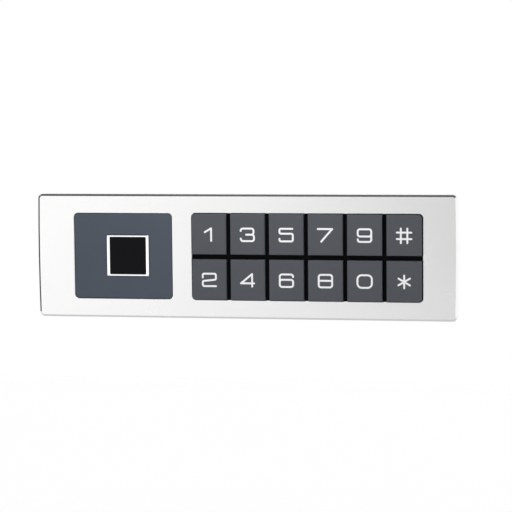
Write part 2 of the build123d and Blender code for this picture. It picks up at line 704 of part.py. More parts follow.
for name, x, z in key_places():
    legend_outline = legend_face(name)
    outward = (-1 if x < KEYPAD_X else 1, 1 if z > 0 else -1)
    on_window_end = abs(x - KEYPAD_X) > 2 * KEY_PITCH_X

    with BuildPart() as key:
        with BuildSketch(front(KEY_LIP_BACK)) as outline:
            with Locations((x, z)):
                Rectangle(KEY_WIDTH, KEY_HEIGHT)
            if on_window_end:
                corner = (x + outward[0] * KEY_WIDTH, z + outward[1] * KEY_HEIGHT)
                fillet(outline.vertices().sort_by_distance((corner[0], corner[1], 0))[0], KEY_OUTER_CORNER)
        extrude(amount=KEY_TOP - KEY_LIP_BACK)
        fillet(key.faces().sort_by(Axis.Y)[0].edges(), KEY_EDGE)
        with BuildSketch(front(KEY_LIP_BACK)):
            with Locations((x, z)):
                RectangleRounded(KEY_WIDTH + 2 * KEY_LIP, KEY_HEIGHT + 2 * KEY_LIP, KEY_CORNER)
        extrude(amount=KEY_LIP_TOP - KEY_LIP_BACK)
        with BuildSketch(front(KEY_LIP_BACK)):
            with Locations((x, z)):
                RectangleRounded(KEY_WIDTH - 2 * KEY_WALL, KEY_HEIGHT - 2 * KEY_WALL, KEY_CORNER)
        extrude(amount=KEY_TOP - KEY_CROWN_THICKNESS - KEY_LIP_BACK, mode=Mode.SUBTRACT)
        with BuildSketch(front(KEY_POST_END)):
            with Locations((x, z)):
                Circle(KEY_POST_RADIUS)
        extrude(amount=KEY_TOP - KEY_CROWN_THICKNESS - KEY_POST_END)
        with BuildSketch(front(KEY_TOP - LEGEND_DEPTH)):
            with Locations((x, z - LEGEND_DROP)):
                add(legend_outline)
        extrude(amount=LEGEND_DEPTH, mode=Mode.SUBTRACT)
    key.part.label = f"key_{name}"
    export_step(key.part, f"parts/key_{name}.step")

    with BuildPart() as legend:
        with BuildSketch(front(KEY_TOP - LEGEND_DEPTH)):
            with Locations((x, z - LEGEND_DROP)):
                add(legend_outline)
        extrude(amount=LEGEND_DEPTH + LEGEND_PROUD)
    legend.part.label = f"legend_{name}"
    export_step(legend.part, f"parts/legend_{name}.step")

# ---------------------------------------------------------------- key mat, contact pills and contact pads
with BuildPart(front(BOARD_TOP)) as key_mat:
    with Locations((KEYPAD_X, 0)):
        Box(MAT_WIDTH, MAT_HEIGHT, MAT_TOP - BOARD_TOP, align=(Align.CENTER, Align.CENTER, Align.MIN))
    with Locations(*[(x, z, MAT_TOP - BOARD_TOP) for x, z in KEY_CENTRES]):
        Cone(
            DOME_FOOT_RADIUS,
            DOME_TIP_RADIUS,
            DOME_TOP - MAT_TOP,
            align=(Align.CENTER, Align.CENTER, Align.MIN),
        )
    with Locations(*KEY_CENTRES):
        Cone(
            HOLLOW_FOOT_RADIUS,
            HOLLOW_TIP_RADIUS,
            DOME_ROOF - BOARD_TOP,
            align=(Align.CENTER, Align.CENTER, Align.MIN),
            mode=Mode.SUBTRACT,
        )
key_mat.part.label = "key_mat"
export_step(key_mat.part, "parts/key_mat.step")

with BuildPart() as contact_pills:
    with BuildSketch(front(DOME_ROOF - PILL_THICKNESS)):
        with Locations(*KEY_CENTRES):
            Circle(PILL_RADIUS)
    extrude(amount=PILL_THICKNESS)
contact_pills.part.label = "contact_pills"
export_step(contact_pills.part, "parts/contact_pills.step")

with BuildPart() as contact_pads:
    with BuildSketch(front(BOARD_TOP)):
        with Locations(*KEY_CENTRES):
            Circle(PAD_RADIUS)
            Rectangle(PAD_SPLIT, 3 * PAD_RADIUS, mode=Mode.SUBTRACT)
    extrude(amount=PAD_THICKNESS)
contact_pads.part.label = "contact_pads"
export_step(contact_pads.part, "parts/contact_pads.step")

# ---------------------------------------------------------------- main board
with BuildPart() as main_board:
    with BuildSketch(front(BOARD_BACK)):
        RectangleRounded(BOARD_WIDTH, BOARD_HEIGHT, BOARD_CORNER)
        with Locations(*mirrored_rows(SCREWED_POSTS_X, POST_Z)):
            Circle(M2_PASSAGE, mode=Mode.SUBTRACT)
        with Locations(*mirrored_rows(PLAIN_POSTS_X[1:], POST_Z)):
            Circle(PIN_HOLE, mode=Mode.SUBTRACT)
    extrude(amount=BOARD_THICKNESS)
main_board.part.label = "main_board"
export_step(main_board.part, "parts/main_board.step")

with BuildPart() as mcu:
    with BuildSketch(rear(BOARD_BACK - CHIP_STANDOFF)):
        with Locations((MCU_X, -MCU_Z)):
            Rectangle(MCU_SIZE, MCU_SIZE)
    extrude(amount=MCU_HEIGHT)
    chamfer(mcu.faces().sort_by(Axis.Y)[-1].edges(), MCU_BEVEL)
    with BuildSketch(rear(BOARD_BACK)):
        with Locations((MCU_X, -MCU_Z)):
            with GridLocations(MCU_LEAD_PITCH, 0, MCU_LEADS_PER_SIDE, 1):
                Rectangle(MCU_LEAD_WIDTH, MCU_SIZE + 2 * MCU_LEAD_REACH)
            with GridLocations(0, MCU_LEAD_PITCH, 1, MCU_LEADS_PER_SIDE):
                Rectangle(MCU_SIZE + 2 * MCU_LEAD_REACH, MCU_LEAD_WIDTH)
    extrude(amount=MCU_LEAD_HEIGHT)
mcu.part.label = "mcu"
export_step(mcu.part, "parts/mcu.step")

# Two eight-lead chips: the template memory and the driver of the lock motor.
for name, x, z in (("memory_chip", -25.5, 3.0), ("motor_driver", 19.0, -3.5)):
    with BuildPart() as chip:
        with BuildSketch(rear(BOARD_BACK - CHIP_STANDOFF)):
            with Locations((x, -z)):
                Rectangle(CHIP_WIDTH, CHIP_DEPTH)
        extrude(amount=CHIP_HEIGHT)
        chamfer(chip.faces().sort_by(Axis.Y)[-1].edges(), CHIP_BEVEL)
        with BuildSketch(rear(BOARD_BACK)):
            with Locations((x, -z)):
                with GridLocations(CHIP_LEAD_PITCH, 0, CHIP_LEADS_PER_SIDE, 1):
                    Rectangle(CHIP_LEAD_WIDTH, CHIP_LEAD_SPAN)
        extrude(amount=CHIP_LEAD_HEIGHT)
    chip.part.label = name
    export_step(chip.part, f"parts/{name}.step")

with BuildPart() as regulator:
    with BuildSketch(rear(BOARD_BACK)):
        with Locations((REGULATOR_X, -REGULATOR_Z)):
            Rectangle(REGULATOR_WIDTH, REGULATOR_DEPTH)
    extrude(amount=REGULATOR_HEIGHT)
    chamfer(regulator.faces().sort_by(Axis.Y)[-1].edges(), CHIP_BEVEL)
    with BuildSketch(rear(BOARD_BACK)):
        with Locations((REGULATOR_X, -REGULATOR_Z - REGULATOR_LEAD_OFFSET)):
            Rectangle(REGULATOR_TAB_WIDTH, REGULATOR_LEAD_REACH)
        with Locations((REGULATOR_X, -REGULATOR_Z + REGULATOR_LEAD_OFFSET)):
            with GridLocations(REGULATOR_LEAD_PITCH, 0, 3, 1):
                Rectangle(REGULATOR_LEAD_WIDTH, REGULATOR_LEAD_REACH)
    extrude(amount=CHIP_LEAD_HEIGHT)
regulator.part.label = "regulator"
export_step(regulator.part, "parts/regulator.step")

with BuildPart() as crystal:
    with BuildSketch(rear(BOARD_BACK)):
        with Locations((CRYSTAL_X, -CRYSTAL_Z)):
            SlotOverall(CRYSTAL_FOOT_WIDTH, CRYSTAL_FOOT_DEPTH)
    extrude(amount=CRYSTAL_FOOT_HEIGHT)
    with BuildSketch(rear(BOARD_BACK)):
        with Locations((CRYSTAL_X, -CRYSTAL_Z)):
            SlotOverall(CRYSTAL_WIDTH, CRYSTAL_DEPTH)
    extrude(amount=CRYSTAL_HEIGHT)
    fillet(crystal.faces().sort_by(Axis.Y)[-1].edges(), CRYSTAL_EDGE)
crystal.part.label = "crystal"
export_step(crystal.part, "parts/crystal.step")

with BuildPart() as capacitors:
    with BuildSketch(rear(BOARD_BACK)):
        with Locations((CAPACITORS_X, -CAPACITORS_Z)):
            with GridLocations(CAPACITOR_SPACING, 0, 3, 1):
                Rectangle(CAPACITOR_BASE, CAPACITOR_BASE)
    extrude(amount=CAPACITOR_BASE_HEIGHT)
    with BuildSketch(rear(BOARD_BACK)):
        with Locations((CAPACITORS_X, -CAPACITORS_Z)):
            with GridLocations(CAPACITOR_SPACING, 0, 3, 1):
                Circle(CAPACITOR_RADIUS)
    extrude(amount=CAPACITOR_HEIGHT)
    fillet(capacitors.faces().group_by(Axis.Y)[-1].edges(), CAPACITOR_EDGE)
capacitors.part.label = "capacitors"
export_step(capacitors.part, "parts/capacitors.step")

with BuildPart() as chip_resistors:
    with BuildSketch(rear(BOARD_BACK)):
        with Locations((RESISTORS_X, -RESISTORS_Z)):
            with GridLocations(RESISTOR_PITCH_X, RESISTOR_PITCH_Z, 6, 2):
                Rectangle(RESISTOR_WIDTH, RESISTOR_DEPTH)
    extrude(amount=RESISTOR_HEIGHT)
chip_resistors.part.label = "chip_resistors"
export_step(chip_resistors.part, "parts/chip_resistors.step")

with BuildPart() as buzzer:
    with BuildSketch(rear(BOARD_BACK)):
        with Locations((BUZZER_X, -BUZZER_Z)):
            Circle(BUZZER_RADIUS)
    extrude(amount=BUZZER_HEIGHT)
    fillet(buzzer.faces().sort_by(Axis.Y)[-1].edges(), BUZZER_EDGE)
    with BuildSketch(rear(BOARD_BACK - BUZZER_HEIGHT)):
        with Locations((BUZZER_X, -BUZZER_Z)):
            Circle(BUZZER_HOLE_RADIUS)
    extrude(amount=-BUZZER_HOLE_DEPTH, mode=Mode.SUBTRACT)
buzzer.part.label = "buzzer"
export_step(buzzer.part, "parts/buzzer.step")

# Wire sockets: a shell that opens backwards, with a key slot on one side and square pins.
for name, z, pins in (("power_socket", SOCKET_Z, 4), ("lock_socket", -SOCKET_Z, 2)):
    shell_width = pins * PIN_PITCH + 2 * SOCKET_END
    with BuildPart() as wire_socket:
        with BuildSketch(rear(BOARD_BACK)):
            with Locations((SOCKET_X, -z)):
                Rectangle(shell_width, SOCKET_DEPTH)
        extrude(amount=SOCKET_LENGTH)
        with BuildSketch(rear(BOARD_BACK - SOCKET_FLOOR)):
            with Locations((SOCKET_X, -z)):
                Rectangle(shell_width - 2 * SOCKET_WALL, SOCKET_DEPTH - 2 * SOCKET_WALL)
            with Locations((SOCKET_X, -z - SOCKET_DEPTH / 2)):
                Rectangle(shell_width / 2, 2 * SOCKET_WALL)
        extrude(amount=SOCKET_LENGTH - SOCKET_FLOOR, mode=Mode.SUBTRACT)
        with BuildSketch(rear(BOARD_BACK - SOCKET_FLOOR)):
            with Locations((SOCKET_X, -z)):
                with GridLocations(PIN_PITCH, 0, pins, 1):
                    Rectangle(PIN_WIDTH, PIN_WIDTH)
        extrude(amount=PIN_HEIGHT)
    wire_socket.part.label = name
    export_step(wire_socket.part, f"parts/{name}.step")

# ---------------------------------------------------------------- rear housing
with BuildPart() as rear_housing:
    with BuildSketch(front(GASKET_TOP)):
        RectangleRounded(FLANGE_WIDTH, FLANGE_HEIGHT, FLANGE_CORNER)
    extrude(amount=FLANGE_TOP - GASKET_TOP)
    with BuildSketch(rear(GASKET_TOP)):
        RectangleRounded(TUB_WIDTH, TUB_HEIGHT, TUB_CORNER)
    extrude(amount=GASKET_TOP - TUB_BACK)
    fillet(rear_housing.faces().sort_by(Axis.Y)[-1].edges(), TUB_EDGE)
    # ribs that centre the tub in the panel's cut-out, with slanted ends to lead them in
    for x in CENTRING_RIBS_X:
        with BuildSketch(Plane.YZ.offset(x - CENTRING_RIB_WIDTH / 2)):
            with BuildLine():
                Polyline(*[(along, TUB_HEIGHT / 2 + out) for along, out in CENTRING_RIB_SIDE], close=True)
            make_face()
            mirror(about=Plane.XZ)
        extrude(amount=CENTRING_RIB_WIDTH)
    for z in CENTRING_RIBS_Z:
        with BuildSketch(Plane.XY.offset(z - CENTRING_RIB_WIDTH / 2)):
            with BuildLine():
                Polyline(*[(TUB_WIDTH / 2 + out, along) for along, out in CENTRING_RIB_SIDE], close=True)
            make_face()
            mirror(about=Plane.YZ)
        extrude(amount=CENTRING_RIB_WIDTH)
    with BuildSketch(front(TUB_FLOOR)):
        RectangleRounded(TUB_WIDTH - 2 * TUB_WALL, TUB_HEIGHT - 2 * TUB_WALL, TUB_CORNER - TUB_WALL)
    extrude(amount=FLANGE_TOP - TUB_FLOOR, mode=Mode.SUBTRACT)
    # posts that carry the main board
    with BuildSketch(front(TUB_FLOOR)):
        with Locations(*mirrored_rows(SCREWED_POSTS_X + PLAIN_POSTS_X, POST_Z)):
            Circle(BOARD_POST_RADIUS)
    extrude(amount=BOARD_BACK - TUB_FLOOR)
    with BuildSketch(front(BOARD_BACK)):
        with Locations(*mirrored_rows(PLAIN_POSTS_X[1:], POST_Z)):
            Circle(PIN_RADIUS)
    extrude(amount=PIN_LENGTH)
    with BuildSketch(front(BOARD_BACK)):
        with Locations(*mirrored_rows(SCREWED_POSTS_X, POST_Z)):
            Circle(M2_HOLE)
    extrude(amount=-BOARD_POST_HOLE_DEPTH, mode=Mode.SUBTRACT)
    # ribs across the floor
    with BuildSketch(front(TUB_FLOOR)):
        with Locations(*[(x, 0) for x in RIBS_X]):
            Rectangle(RIB_THICKNESS, TUB_HEIGHT - 2 * TUB_WALL)
    extrude(amount=RIB_HEIGHT)
    # bosses and blind holes for the brass inserts
    with BuildSketch(front(TUB_FLOOR)):
        with GridLocations(INSERT_SPACING, 0, 2, 1):
            Circle(INSERT_BOSS_RADIUS)
    extrude(amount=INSERT_BOSS_HEIGHT)
    with BuildSketch(front(TUB_BACK)):
        with GridLocations(INSERT_SPACING, 0, 2, 1):
            Circle(INSERT_RADIUS)
    extrude(amount=INSERT_LENGTH, mode=Mode.SUBTRACT)
    # outlet for the cable grommet and the sound holes of the buzzer
    with BuildSketch(front(TUB_BACK)):
        with Locations((GROMMET_X, 0)):
            Circle(GROMMET_NECK)
        with Locations((BUZZER_X, BUZZER_Z)):
            Circle(SOUND_HOLE_RADIUS)
            with PolarLocations(SOUND_HOLE_CIRCLE, SOUND_HOLES):
                Circle(SOUND_HOLE_RADIUS)
    extrude(amount=TUB_FLOOR - TUB_BACK, mode=Mode.SUBTRACT)
    # shallow recess for a rating label
    with BuildSketch(front(TUB_BACK)):
        with Locations((LABEL_X, 0)):
            RectangleRounded(LABEL_WIDTH, LABEL_HEIGHT, LABEL_CORNER)
    extrude(amount=LABEL_DEPTH, mode=Mode.SUBTRACT)
    with Locations(rear(GASKET_TOP)):
        with GridLocations(2 * CASE_SCREW_X, 2 * CASE_SCREW_Z, 2, 2):
            CounterSinkHole(
                radius=M2_PASSAGE,
                counter_sink_radius=SUNK_SEAT,
                depth=FLANGE_TOP - GASKET_TOP,
                counter_sink_angle=90,
            )
rear_housing.part.label = "rear_housing"
export_step(rear_housing.part, "parts/rear_housing.step")

with BuildPart() as mount_inserts:
    with BuildSketch(front(TUB_BACK)):
        with GridLocations(INSERT_SPACING, 0, 2, 1):
            Circle(INSERT_RADIUS - INSERT_FIT)
    extrude(amount=INSERT_LENGTH)
    for start in INSERT_GROOVES:
        with BuildSketch(front(TUB_BACK + start)):
            with GridLocations(INSERT_SPACING, 0, 2, 1):
                Circle(INSERT_BOSS_RADIUS)
                Circle(INSERT_RADIUS - INSERT_GROOVE_DEPTH, mode=Mode.SUBTRACT)
        extrude(amount=INSERT_GROOVE_WIDTH, mode=Mode.SUBTRACT)
    with BuildSketch(front(TUB_BACK)):
        with GridLocations(INSERT_SPACING, 0, 2, 1):
            Circle(INSERT_BORE)
    extrude(amount=INSERT_LENGTH, mode=Mode.SUBTRACT)
mount_inserts.part.label = "mount_inserts"
export_step(mount_inserts.part, "parts/mount_inserts.step")

with BuildPart() as cable_grommet:
    with BuildSketch(front(TUB_BACK)):
        with Locations((GROMMET_X, 0)):
            Circle(GROMMET_NECK)
    extrude(amount=TUB_FLOOR - TUB_BACK)
    with BuildSketch(front(TUB_FLOOR)):
        with Locations((GROMMET_X, 0)):
            Circle(GROMMET_FLANGE)
    extrude(amount=GROMMET_INNER_LIP)
    with BuildSketch(rear(TUB_BACK)):
        with Locations((GROMMET_X, 0)):
            Circle(GROMMET_FLANGE)
    extrude(amount=GROMMET_OUTER_LIP)
    fillet(cable_grommet.faces().sort_by(Axis.Y)[-1].edges(), GROMMET_EDGE)
    with BuildSketch(front(TUB_BACK - GROMMET_OUTER_LIP)):
        with Locations((GROMMET_X, 0)):
            Circle(GROMMET_BORE)
    extrude(amount=GROMMET_OUTER_LIP + TUB_FLOOR - TUB_BACK + GROMMET_INNER_LIP, mode=Mode.SUBTRACT)
cable_grommet.part.label = "cable_grommet"
export_step(cable_grommet.part, "parts/cable_grommet.step")

# ---------------------------------------------------------------- panel gasket
with BuildPart() as panel_gasket:
    with BuildSketch(front(0)):
        add(crowned_face(FRAME_WIDTH - 2 * GASKET_INSET, FRAME_HEIGHT - 2 * GASKET_INSET, FRAME_CORNER))
        RectangleRounded(
            TUB_WIDTH + 2 * GASKET_CLEARANCE,
            TUB_HEIGHT + 2 * GASKET_CLEARANCE,
            TUB_CORNER + GASKET_CLEARANCE,
            mode=Mode.SUBTRACT,
        )
    extrude(amount=GASKET_TOP)
panel_gasket.part.label = "panel_gasket"
export_step(panel_gasket.part, "parts/panel_gasket.step")


# ---------------------------------------------------------------- screws
def pan_screws(places, seat: float, radius: float, length: float, head: float, head_height: float) -> Part:
    """Pan-head screws with a cross recess: heads behind the seat height, shanks in front of it."""
    with BuildPart() as screws:
        with BuildSketch(rear(seat)):
            with Locations(*[(x, -z) for x, z in places]):
                Circle(head)
        extrude(amount=head_height)
        fillet(screws.faces().group_by(Axis.Y)[-1].edges(), head_height * 0.4)
        with BuildSketch(front(seat)):
            with Locations(*places):
                Circle(radius)
        extrude(amount=length)
        with BuildSketch(rear(seat - head_height)):
            with Locations(*[(x, -z) for x, z in places]):
                Rectangle(2 * RECESS_SHARE * head, RECESS_WIDTH)
                Rectangle(RECESS_WIDTH, 2 * RECESS_SHARE * head)
        extrude(amount=-RECESS_SHARE * head_height, mode=Mode.SUBTRACT)
    return screws.part


sensor_panel_screws = pan_screws(
    mirrored_rows(SENSOR_SCREWS_X, SMALL_SCREW_Z),
    PLATE_BACK,
    SMALL_SCREW_RADIUS,
    SMALL_SCREW_LENGTH,
    SMALL_SCREW_HEAD,
    SMALL_SCREW_HEAD_HEIGHT,
)
sensor_panel_screws.label = "sensor_panel_screws"
export_step(sensor_panel_screws, "parts/sensor_panel_screws.step")

key_frame_screws = pan_screws(
    mirrored_rows(KEY_FRAME_SCREWS_X, SMALL_SCREW_Z),
    PLATE_BACK,
    SMALL_SCREW_RADIUS,
    SMALL_SCREW_LENGTH,
    SMALL_SCREW_HEAD,
    SMALL_SCREW_HEAD_HEIGHT,
)
key_frame_screws.label = "key_frame_screws"
export_step(key_frame_screws, "parts/key_frame_screws.step")

sensor_bracket_screws = pan_screws(
    BRACKET_SCREWS,
    BRACKET_BACK,
    SMALL_SCREW_RADIUS,
    BRACKET_SCREW_LENGTH,
    SMALL_SCREW_HEAD,
    SMALL_SCREW_HEAD_HEIGHT,
)
sensor_bracket_screws.label = "sensor_bracket_screws"
export_step(sensor_bracket_screws, "parts/sensor_bracket_screws.step")

# The board screws go the other way: their heads are in front of the board.
with BuildPart() as board_screws:
    with BuildSketch(front(BOARD_TOP)):
        with Locations(*mirrored_rows(SCREWED_POSTS_X, POST_Z)):
            Circle(M2_HEAD)
    extrude(amount=BOARD_SCREW_HEAD_HEIGHT)
    fillet(board_screws.faces().group_by(Axis.Y)[0].edges(), BOARD_SCREW_HEAD_EDGE)
    with BuildSketch(front(BOARD_TOP)):
        with Locations(*mirrored_rows(SCREWED_POSTS_X, POST_Z)):
            Circle(M2_RADIUS)
    extrude(amount=-BOARD_SCREW_LENGTH)
    with BuildSketch(front(BOARD_TOP + BOARD_SCREW_HEAD_HEIGHT)):
        with Locations(*mirrored_rows(SCREWED_POSTS_X, POST_Z)):
            Rectangle(2 * RECESS_SHARE * M2_HEAD, RECESS_WIDTH)
            Rectangle(RECESS_WIDTH, 2 * RECESS_SHARE * M2_HEAD)
    extrude(amount=-RECESS_SHARE * BOARD_SCREW_HEAD_HEIGHT, mode=Mode.SUBTRACT)
board_screws.part.label = "board_screws"
export_step(board_screws.part, "parts/board_screws.step")

# Countersunk screws hold the rear housing to the bosses of the front frame.
with BuildPart(front(GASKET_TOP)) as case_screws:
    with GridLocations(2 * CASE_SCREW_X, 2 * CASE_SCREW_Z, 2, 2):
        Cone(
            SUNK_HEAD,
            M2_RADIUS,
            SUNK_HEAD - M2_RADIUS,
            align=(Align.CENTER, Align.CENTER, Align.MIN),
        )
        Cylinder(M2_RADIUS, CASE_SCREW_LENGTH, align=(Align.CENTER, Align.CENTER, Align.MIN))
        for width, height in ((SUNK_RECESS_LENGTH, RECESS_WIDTH), (RECESS_WIDTH, SUNK_RECESS_LENGTH)):
            Box(
                width,
                height,
                SUNK_RECESS_DEPTH,
                align=(Align.CENTER, Align.CENTER, Align.MIN),
                mode=Mode.SUBTRACT,
            )
case_screws.part.label = "case_screws"
export_step(case_screws.part, "parts/case_screws.step")
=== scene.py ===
"""Looks of a fingerprint scanner terminal with a keypad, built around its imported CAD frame.

Every sub-assembly is a class that dresses its own CAD pieces with a procedural finish and adds the fine
pieces that only the picture needs. Lengths are in metres, in the same frame as the CAD: +Z is up, the face
looks towards -Y, and the origin is the middle of the panel seat.
"""

import logging
import math
from dataclasses import dataclass, field
from enum import Enum
from functools import cache

import bpy
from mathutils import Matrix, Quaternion, Vector


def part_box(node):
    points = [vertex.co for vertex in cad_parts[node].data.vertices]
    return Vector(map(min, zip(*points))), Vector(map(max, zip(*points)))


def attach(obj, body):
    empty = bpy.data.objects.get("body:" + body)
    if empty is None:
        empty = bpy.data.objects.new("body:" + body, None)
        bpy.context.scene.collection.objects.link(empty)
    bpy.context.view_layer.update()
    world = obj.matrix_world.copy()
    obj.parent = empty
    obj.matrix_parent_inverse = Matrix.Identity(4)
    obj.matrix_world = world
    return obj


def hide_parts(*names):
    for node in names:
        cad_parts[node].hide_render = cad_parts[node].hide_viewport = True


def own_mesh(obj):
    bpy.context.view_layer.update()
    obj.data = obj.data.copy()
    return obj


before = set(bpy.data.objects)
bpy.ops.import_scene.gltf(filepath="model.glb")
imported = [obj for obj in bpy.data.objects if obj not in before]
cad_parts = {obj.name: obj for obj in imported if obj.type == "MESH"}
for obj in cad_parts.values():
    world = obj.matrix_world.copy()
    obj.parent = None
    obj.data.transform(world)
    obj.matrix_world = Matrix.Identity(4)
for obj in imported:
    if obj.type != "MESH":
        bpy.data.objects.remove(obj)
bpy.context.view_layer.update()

LOG = logging.getLogger("terminal")
BODY = "terminal"
MILLIMETRE = 0.001

# how fast the finer layers of a noise fade, and the part of its range that is spread over a finish
NOISE_ROUGHNESS = 0.55
NOISE_LOW = 0.3
NOISE_HIGH = 0.7

# largest part of a face's direction along one axis: below the first it slants, above the second it is square
SLANTED = 0.80
SQUARE = 0.97

# places of the mix node's sockets
MIX_FACTOR = 0
MIX_NUMBERS = (2, 3)
MIX_NUMBER_RESULT = 0
MIX_COLOURS = (6, 7)
MIX_COLOUR_RESULT = 2

Triple = tuple[float, float, float]


# ---------------------------------------------------------------- shader helper
class ShaderTree:
    """The node tree of one material, with the few moves that every finish makes."""

    def __init__(self, name: str) -> None:
        """Makes a material with a Principled shader.

        Args:
            name: Name of the new material.
        """
        self.material = bpy.data.materials.new(name)
        self.material.use_nodes = True
        self.tree = self.material.node_tree
        self.shader = self.tree.nodes["Principled BSDF"]
        self.places = self.tree.nodes.new("ShaderNodeTexCoord").outputs["Object"]

    def node(self, kind: str, **inputs: object) -> bpy.types.Node:
        """Adds a node and fills its sockets.

        Args:
            kind: The node's type name.
            **inputs: Socket names, with _ for a space, and a value or an output socket for each.

        Returns:
            The new node.
        """
        made = self.tree.nodes.new(kind)
        for key, value in inputs.items():
            self.feed(made.inputs[key.replace("_", " ")], value)
        return made

    def feed(self, socket: bpy.types.NodeSocket, value: object) -> None:
        """Links an output to a socket, or sets the socket's own value.

        Args:
            socket: The input socket.
            value: An output socket or a plain value.
        """
        if isinstance(value, bpy.types.NodeSocket):
            self.tree.links.new(value, socket)
        else:
            socket.default_value = value

    def noise(self, size: float, detail: float = 2.0, stretch: Triple = (1, 1, 1)) -> bpy.types.NodeSocket:
        """Cloudy noise in the piece's own coordinates.

        Args:
            size: Size of one cloud, in metres.
            detail: How many finer layers are added.
            stretch: How much denser the noise is along each axis.

        Returns:
            The noise value, about 0.5 on average.
        """
        mapped = self.node("ShaderNodeMapping", Vector=self.places, Scale=stretch)
        texture = self.node(
            "ShaderNodeTexNoise",
            Vector=mapped.outputs["Vector"],
            Scale=1 / size,
            Detail=detail,
            Roughness=NOISE_ROUGHNESS,
        )
        return texture.outputs["Fac"]

    def cells(self, size: float) -> bpy.types.NodeSocket:
        """Distance to the nearest of many scattered points.

        Args:
            size: Usual distance between two points, in metres.

        Returns:
            The distance, 0 at a point and about 1 between points.
        """
        texture = self.node("ShaderNodeTexVoronoi", Vector=self.places, Scale=1 / size)
        return texture.outputs["Distance"]

    def spread(self, value: bpy.types.NodeSocket, low: float, high: float) -> bpy.types.NodeSocket:
        """Maps the middle of a noise value to a range.

        Args:
            value: A noise value.
            low: Result where the noise is low.
            high: Result where the noise is high.

        Returns:
            The mapped value.
        """
        mapped = self.node("ShaderNodeMapRange", Value=value)
        mapped.inputs["From Min"].default_value = NOISE_LOW
        mapped.inputs["From Max"].default_value = NOISE_HIGH
        mapped.inputs["To Min"].default_value = low
        mapped.inputs["To Max"].default_value = high
        return mapped.outputs["Result"]

    def between(self, factor: bpy.types.NodeSocket, first: Triple, second: Triple) -> bpy.types.NodeSocket:
        """Mixes two colours.

        Args:
            factor: 0 gives the first colour and 1 the second.
            first: A colour.
            second: A colour.

        Returns:
            The mixed colour.
        """
        mix = self.tree.nodes.new("ShaderNodeMix")
        mix.data_type = "RGBA"
        self.feed(mix.inputs[MIX_FACTOR], factor)
        for socket, colour in zip(MIX_COLOURS, (first, second)):
            mix.inputs[socket].default_value = (*colour, 1)
        return mix.outputs[MIX_COLOUR_RESULT]

    def squareness(self) -> bpy.types.NodeSocket:
        """How squarely the surface faces along one of the three axes.

        Returns:
            1 on faces that are square to an axis and 0 on chamfers and rounded edges.
        """
        coordinates = self.tree.nodes.new("ShaderNodeTexCoord")
        split = self.node("ShaderNodeSeparateXYZ", Vector=coordinates.outputs["Normal"])
        largest = None
        for axis in ("X", "Y", "Z"):
            size = self.math("ABSOLUTE", split.outputs[axis])
            largest = size if largest is None else self.math("MAXIMUM", largest, size)
        edge = self.node("ShaderNodeMapRange", Value=largest)
        edge.interpolation_type = "SMOOTHSTEP"
        edge.inputs["From Min"].default_value = SLANTED
        edge.inputs["From Max"].default_value = SQUARE
        return edge.outputs["Result"]

    def math(self, operation: str, *values: object) -> bpy.types.NodeSocket:
        """Does one sum.

        Args:
            operation: Name of the sum.
            *values: Plain numbers or output sockets.

        Returns:
            The result.
        """
        sum_node = self.tree.nodes.new("ShaderNodeMath")
        sum_node.operation = operation
        for socket, value in zip(sum_node.inputs, values):
            self.feed(socket, value)
        return sum_node.outputs["Value"]

    def blend(self, factor: bpy.types.NodeSocket, first: object, second: object) -> bpy.types.NodeSocket:
        """Mixes two numbers: factor 0 gives the first and 1 the second."""
        mix = self.tree.nodes.new("ShaderNodeMix")
        self.feed(mix.inputs[MIX_FACTOR], factor)
        for socket, number in zip(MIX_NUMBERS, (first, second)):
            self.feed(mix.inputs[socket], number)
        return mix.outputs[MIX_NUMBER_RESULT]

    def relief(self, height: bpy.types.NodeSocket, depth: float, strength: object = 1.0) -> None:
        """Raises the surface by a height value, on top of any relief that is there already.

        Args:
            height: The height value, from 0 to 1.
            depth: Height of the whole range, in metres.
            strength: Share of the effect, as a number or a socket.
        """
        bump = self.node("ShaderNodeBump", Height=height, Strength=strength, Distance=depth)
        normal = self.shader.inputs["Normal"]
        if normal.is_linked:
            self.tree.links.new(normal.links[0].from_socket, bump.inputs["Normal"])
        self.tree.links.new(bump.outputs["Normal"], normal)

    def set(self, **values: object) -> None:
        """Fills the shader's own sockets: names with _ for a space."""
        for key, value in values.items():
            self.feed(self.shader.inputs[key.replace("_", " ")], value)


# ---------------------------------------------------------------- finishes
def shade(colour: Triple, share: float) -> Triple:
    """The colour made lighter or darker by a share."""
    return tuple(min(1.0, c * share) for c in colour)


@dataclass(frozen=True)
class Finish:
    """A finish that makes its material when it is first asked for."""

    name: str

    @cache
    def make(self) -> bpy.types.Material:
        """Returns the finish's material, which all its pieces share."""
        shader = ShaderTree(self.name)
        self.paint(shader)
        return shader.material

    def paint(self, shader: ShaderTree) -> None:
        """Fills the material's nodes."""
        raise NotImplementedError


@dataclass(frozen=True)
class BlastedMetal(Finish):
    """Metal with an even, fine blasted grain, as on anodised aluminium."""

    colour: Triple
    roughness: float
    edge_roughness: float = 0.14
    grain: float = 0.22 * MILLIMETRE
    depth: float = 0.0004 * MILLIMETRE
    cloud: float = 14 * MILLIMETRE
    tint: tuple[float, float] = (0.985, 1.01)
    play: float = 0.008

    def paint(self, shader: ShaderTree) -> None:
        """A cloudy satin with a fine grain, and smoother cuts wherever the surface slants."""
        clouds = shader.noise(self.cloud, detail=3)
        fine = shader.noise(self.grain, detail=1)
        colour = shader.between(clouds, *(shade(self.colour, share) for share in self.tint))
        flat = shader.squareness()
        satin = shader.spread(clouds, self.roughness - self.play, self.roughness + self.play)
        shader.set(
            Base_Color=colour,
            Metallic=1.0,
            Roughness=shader.blend(flat, self.edge_roughness, satin),
        )
        shader.relief(fine, self.depth, flat)


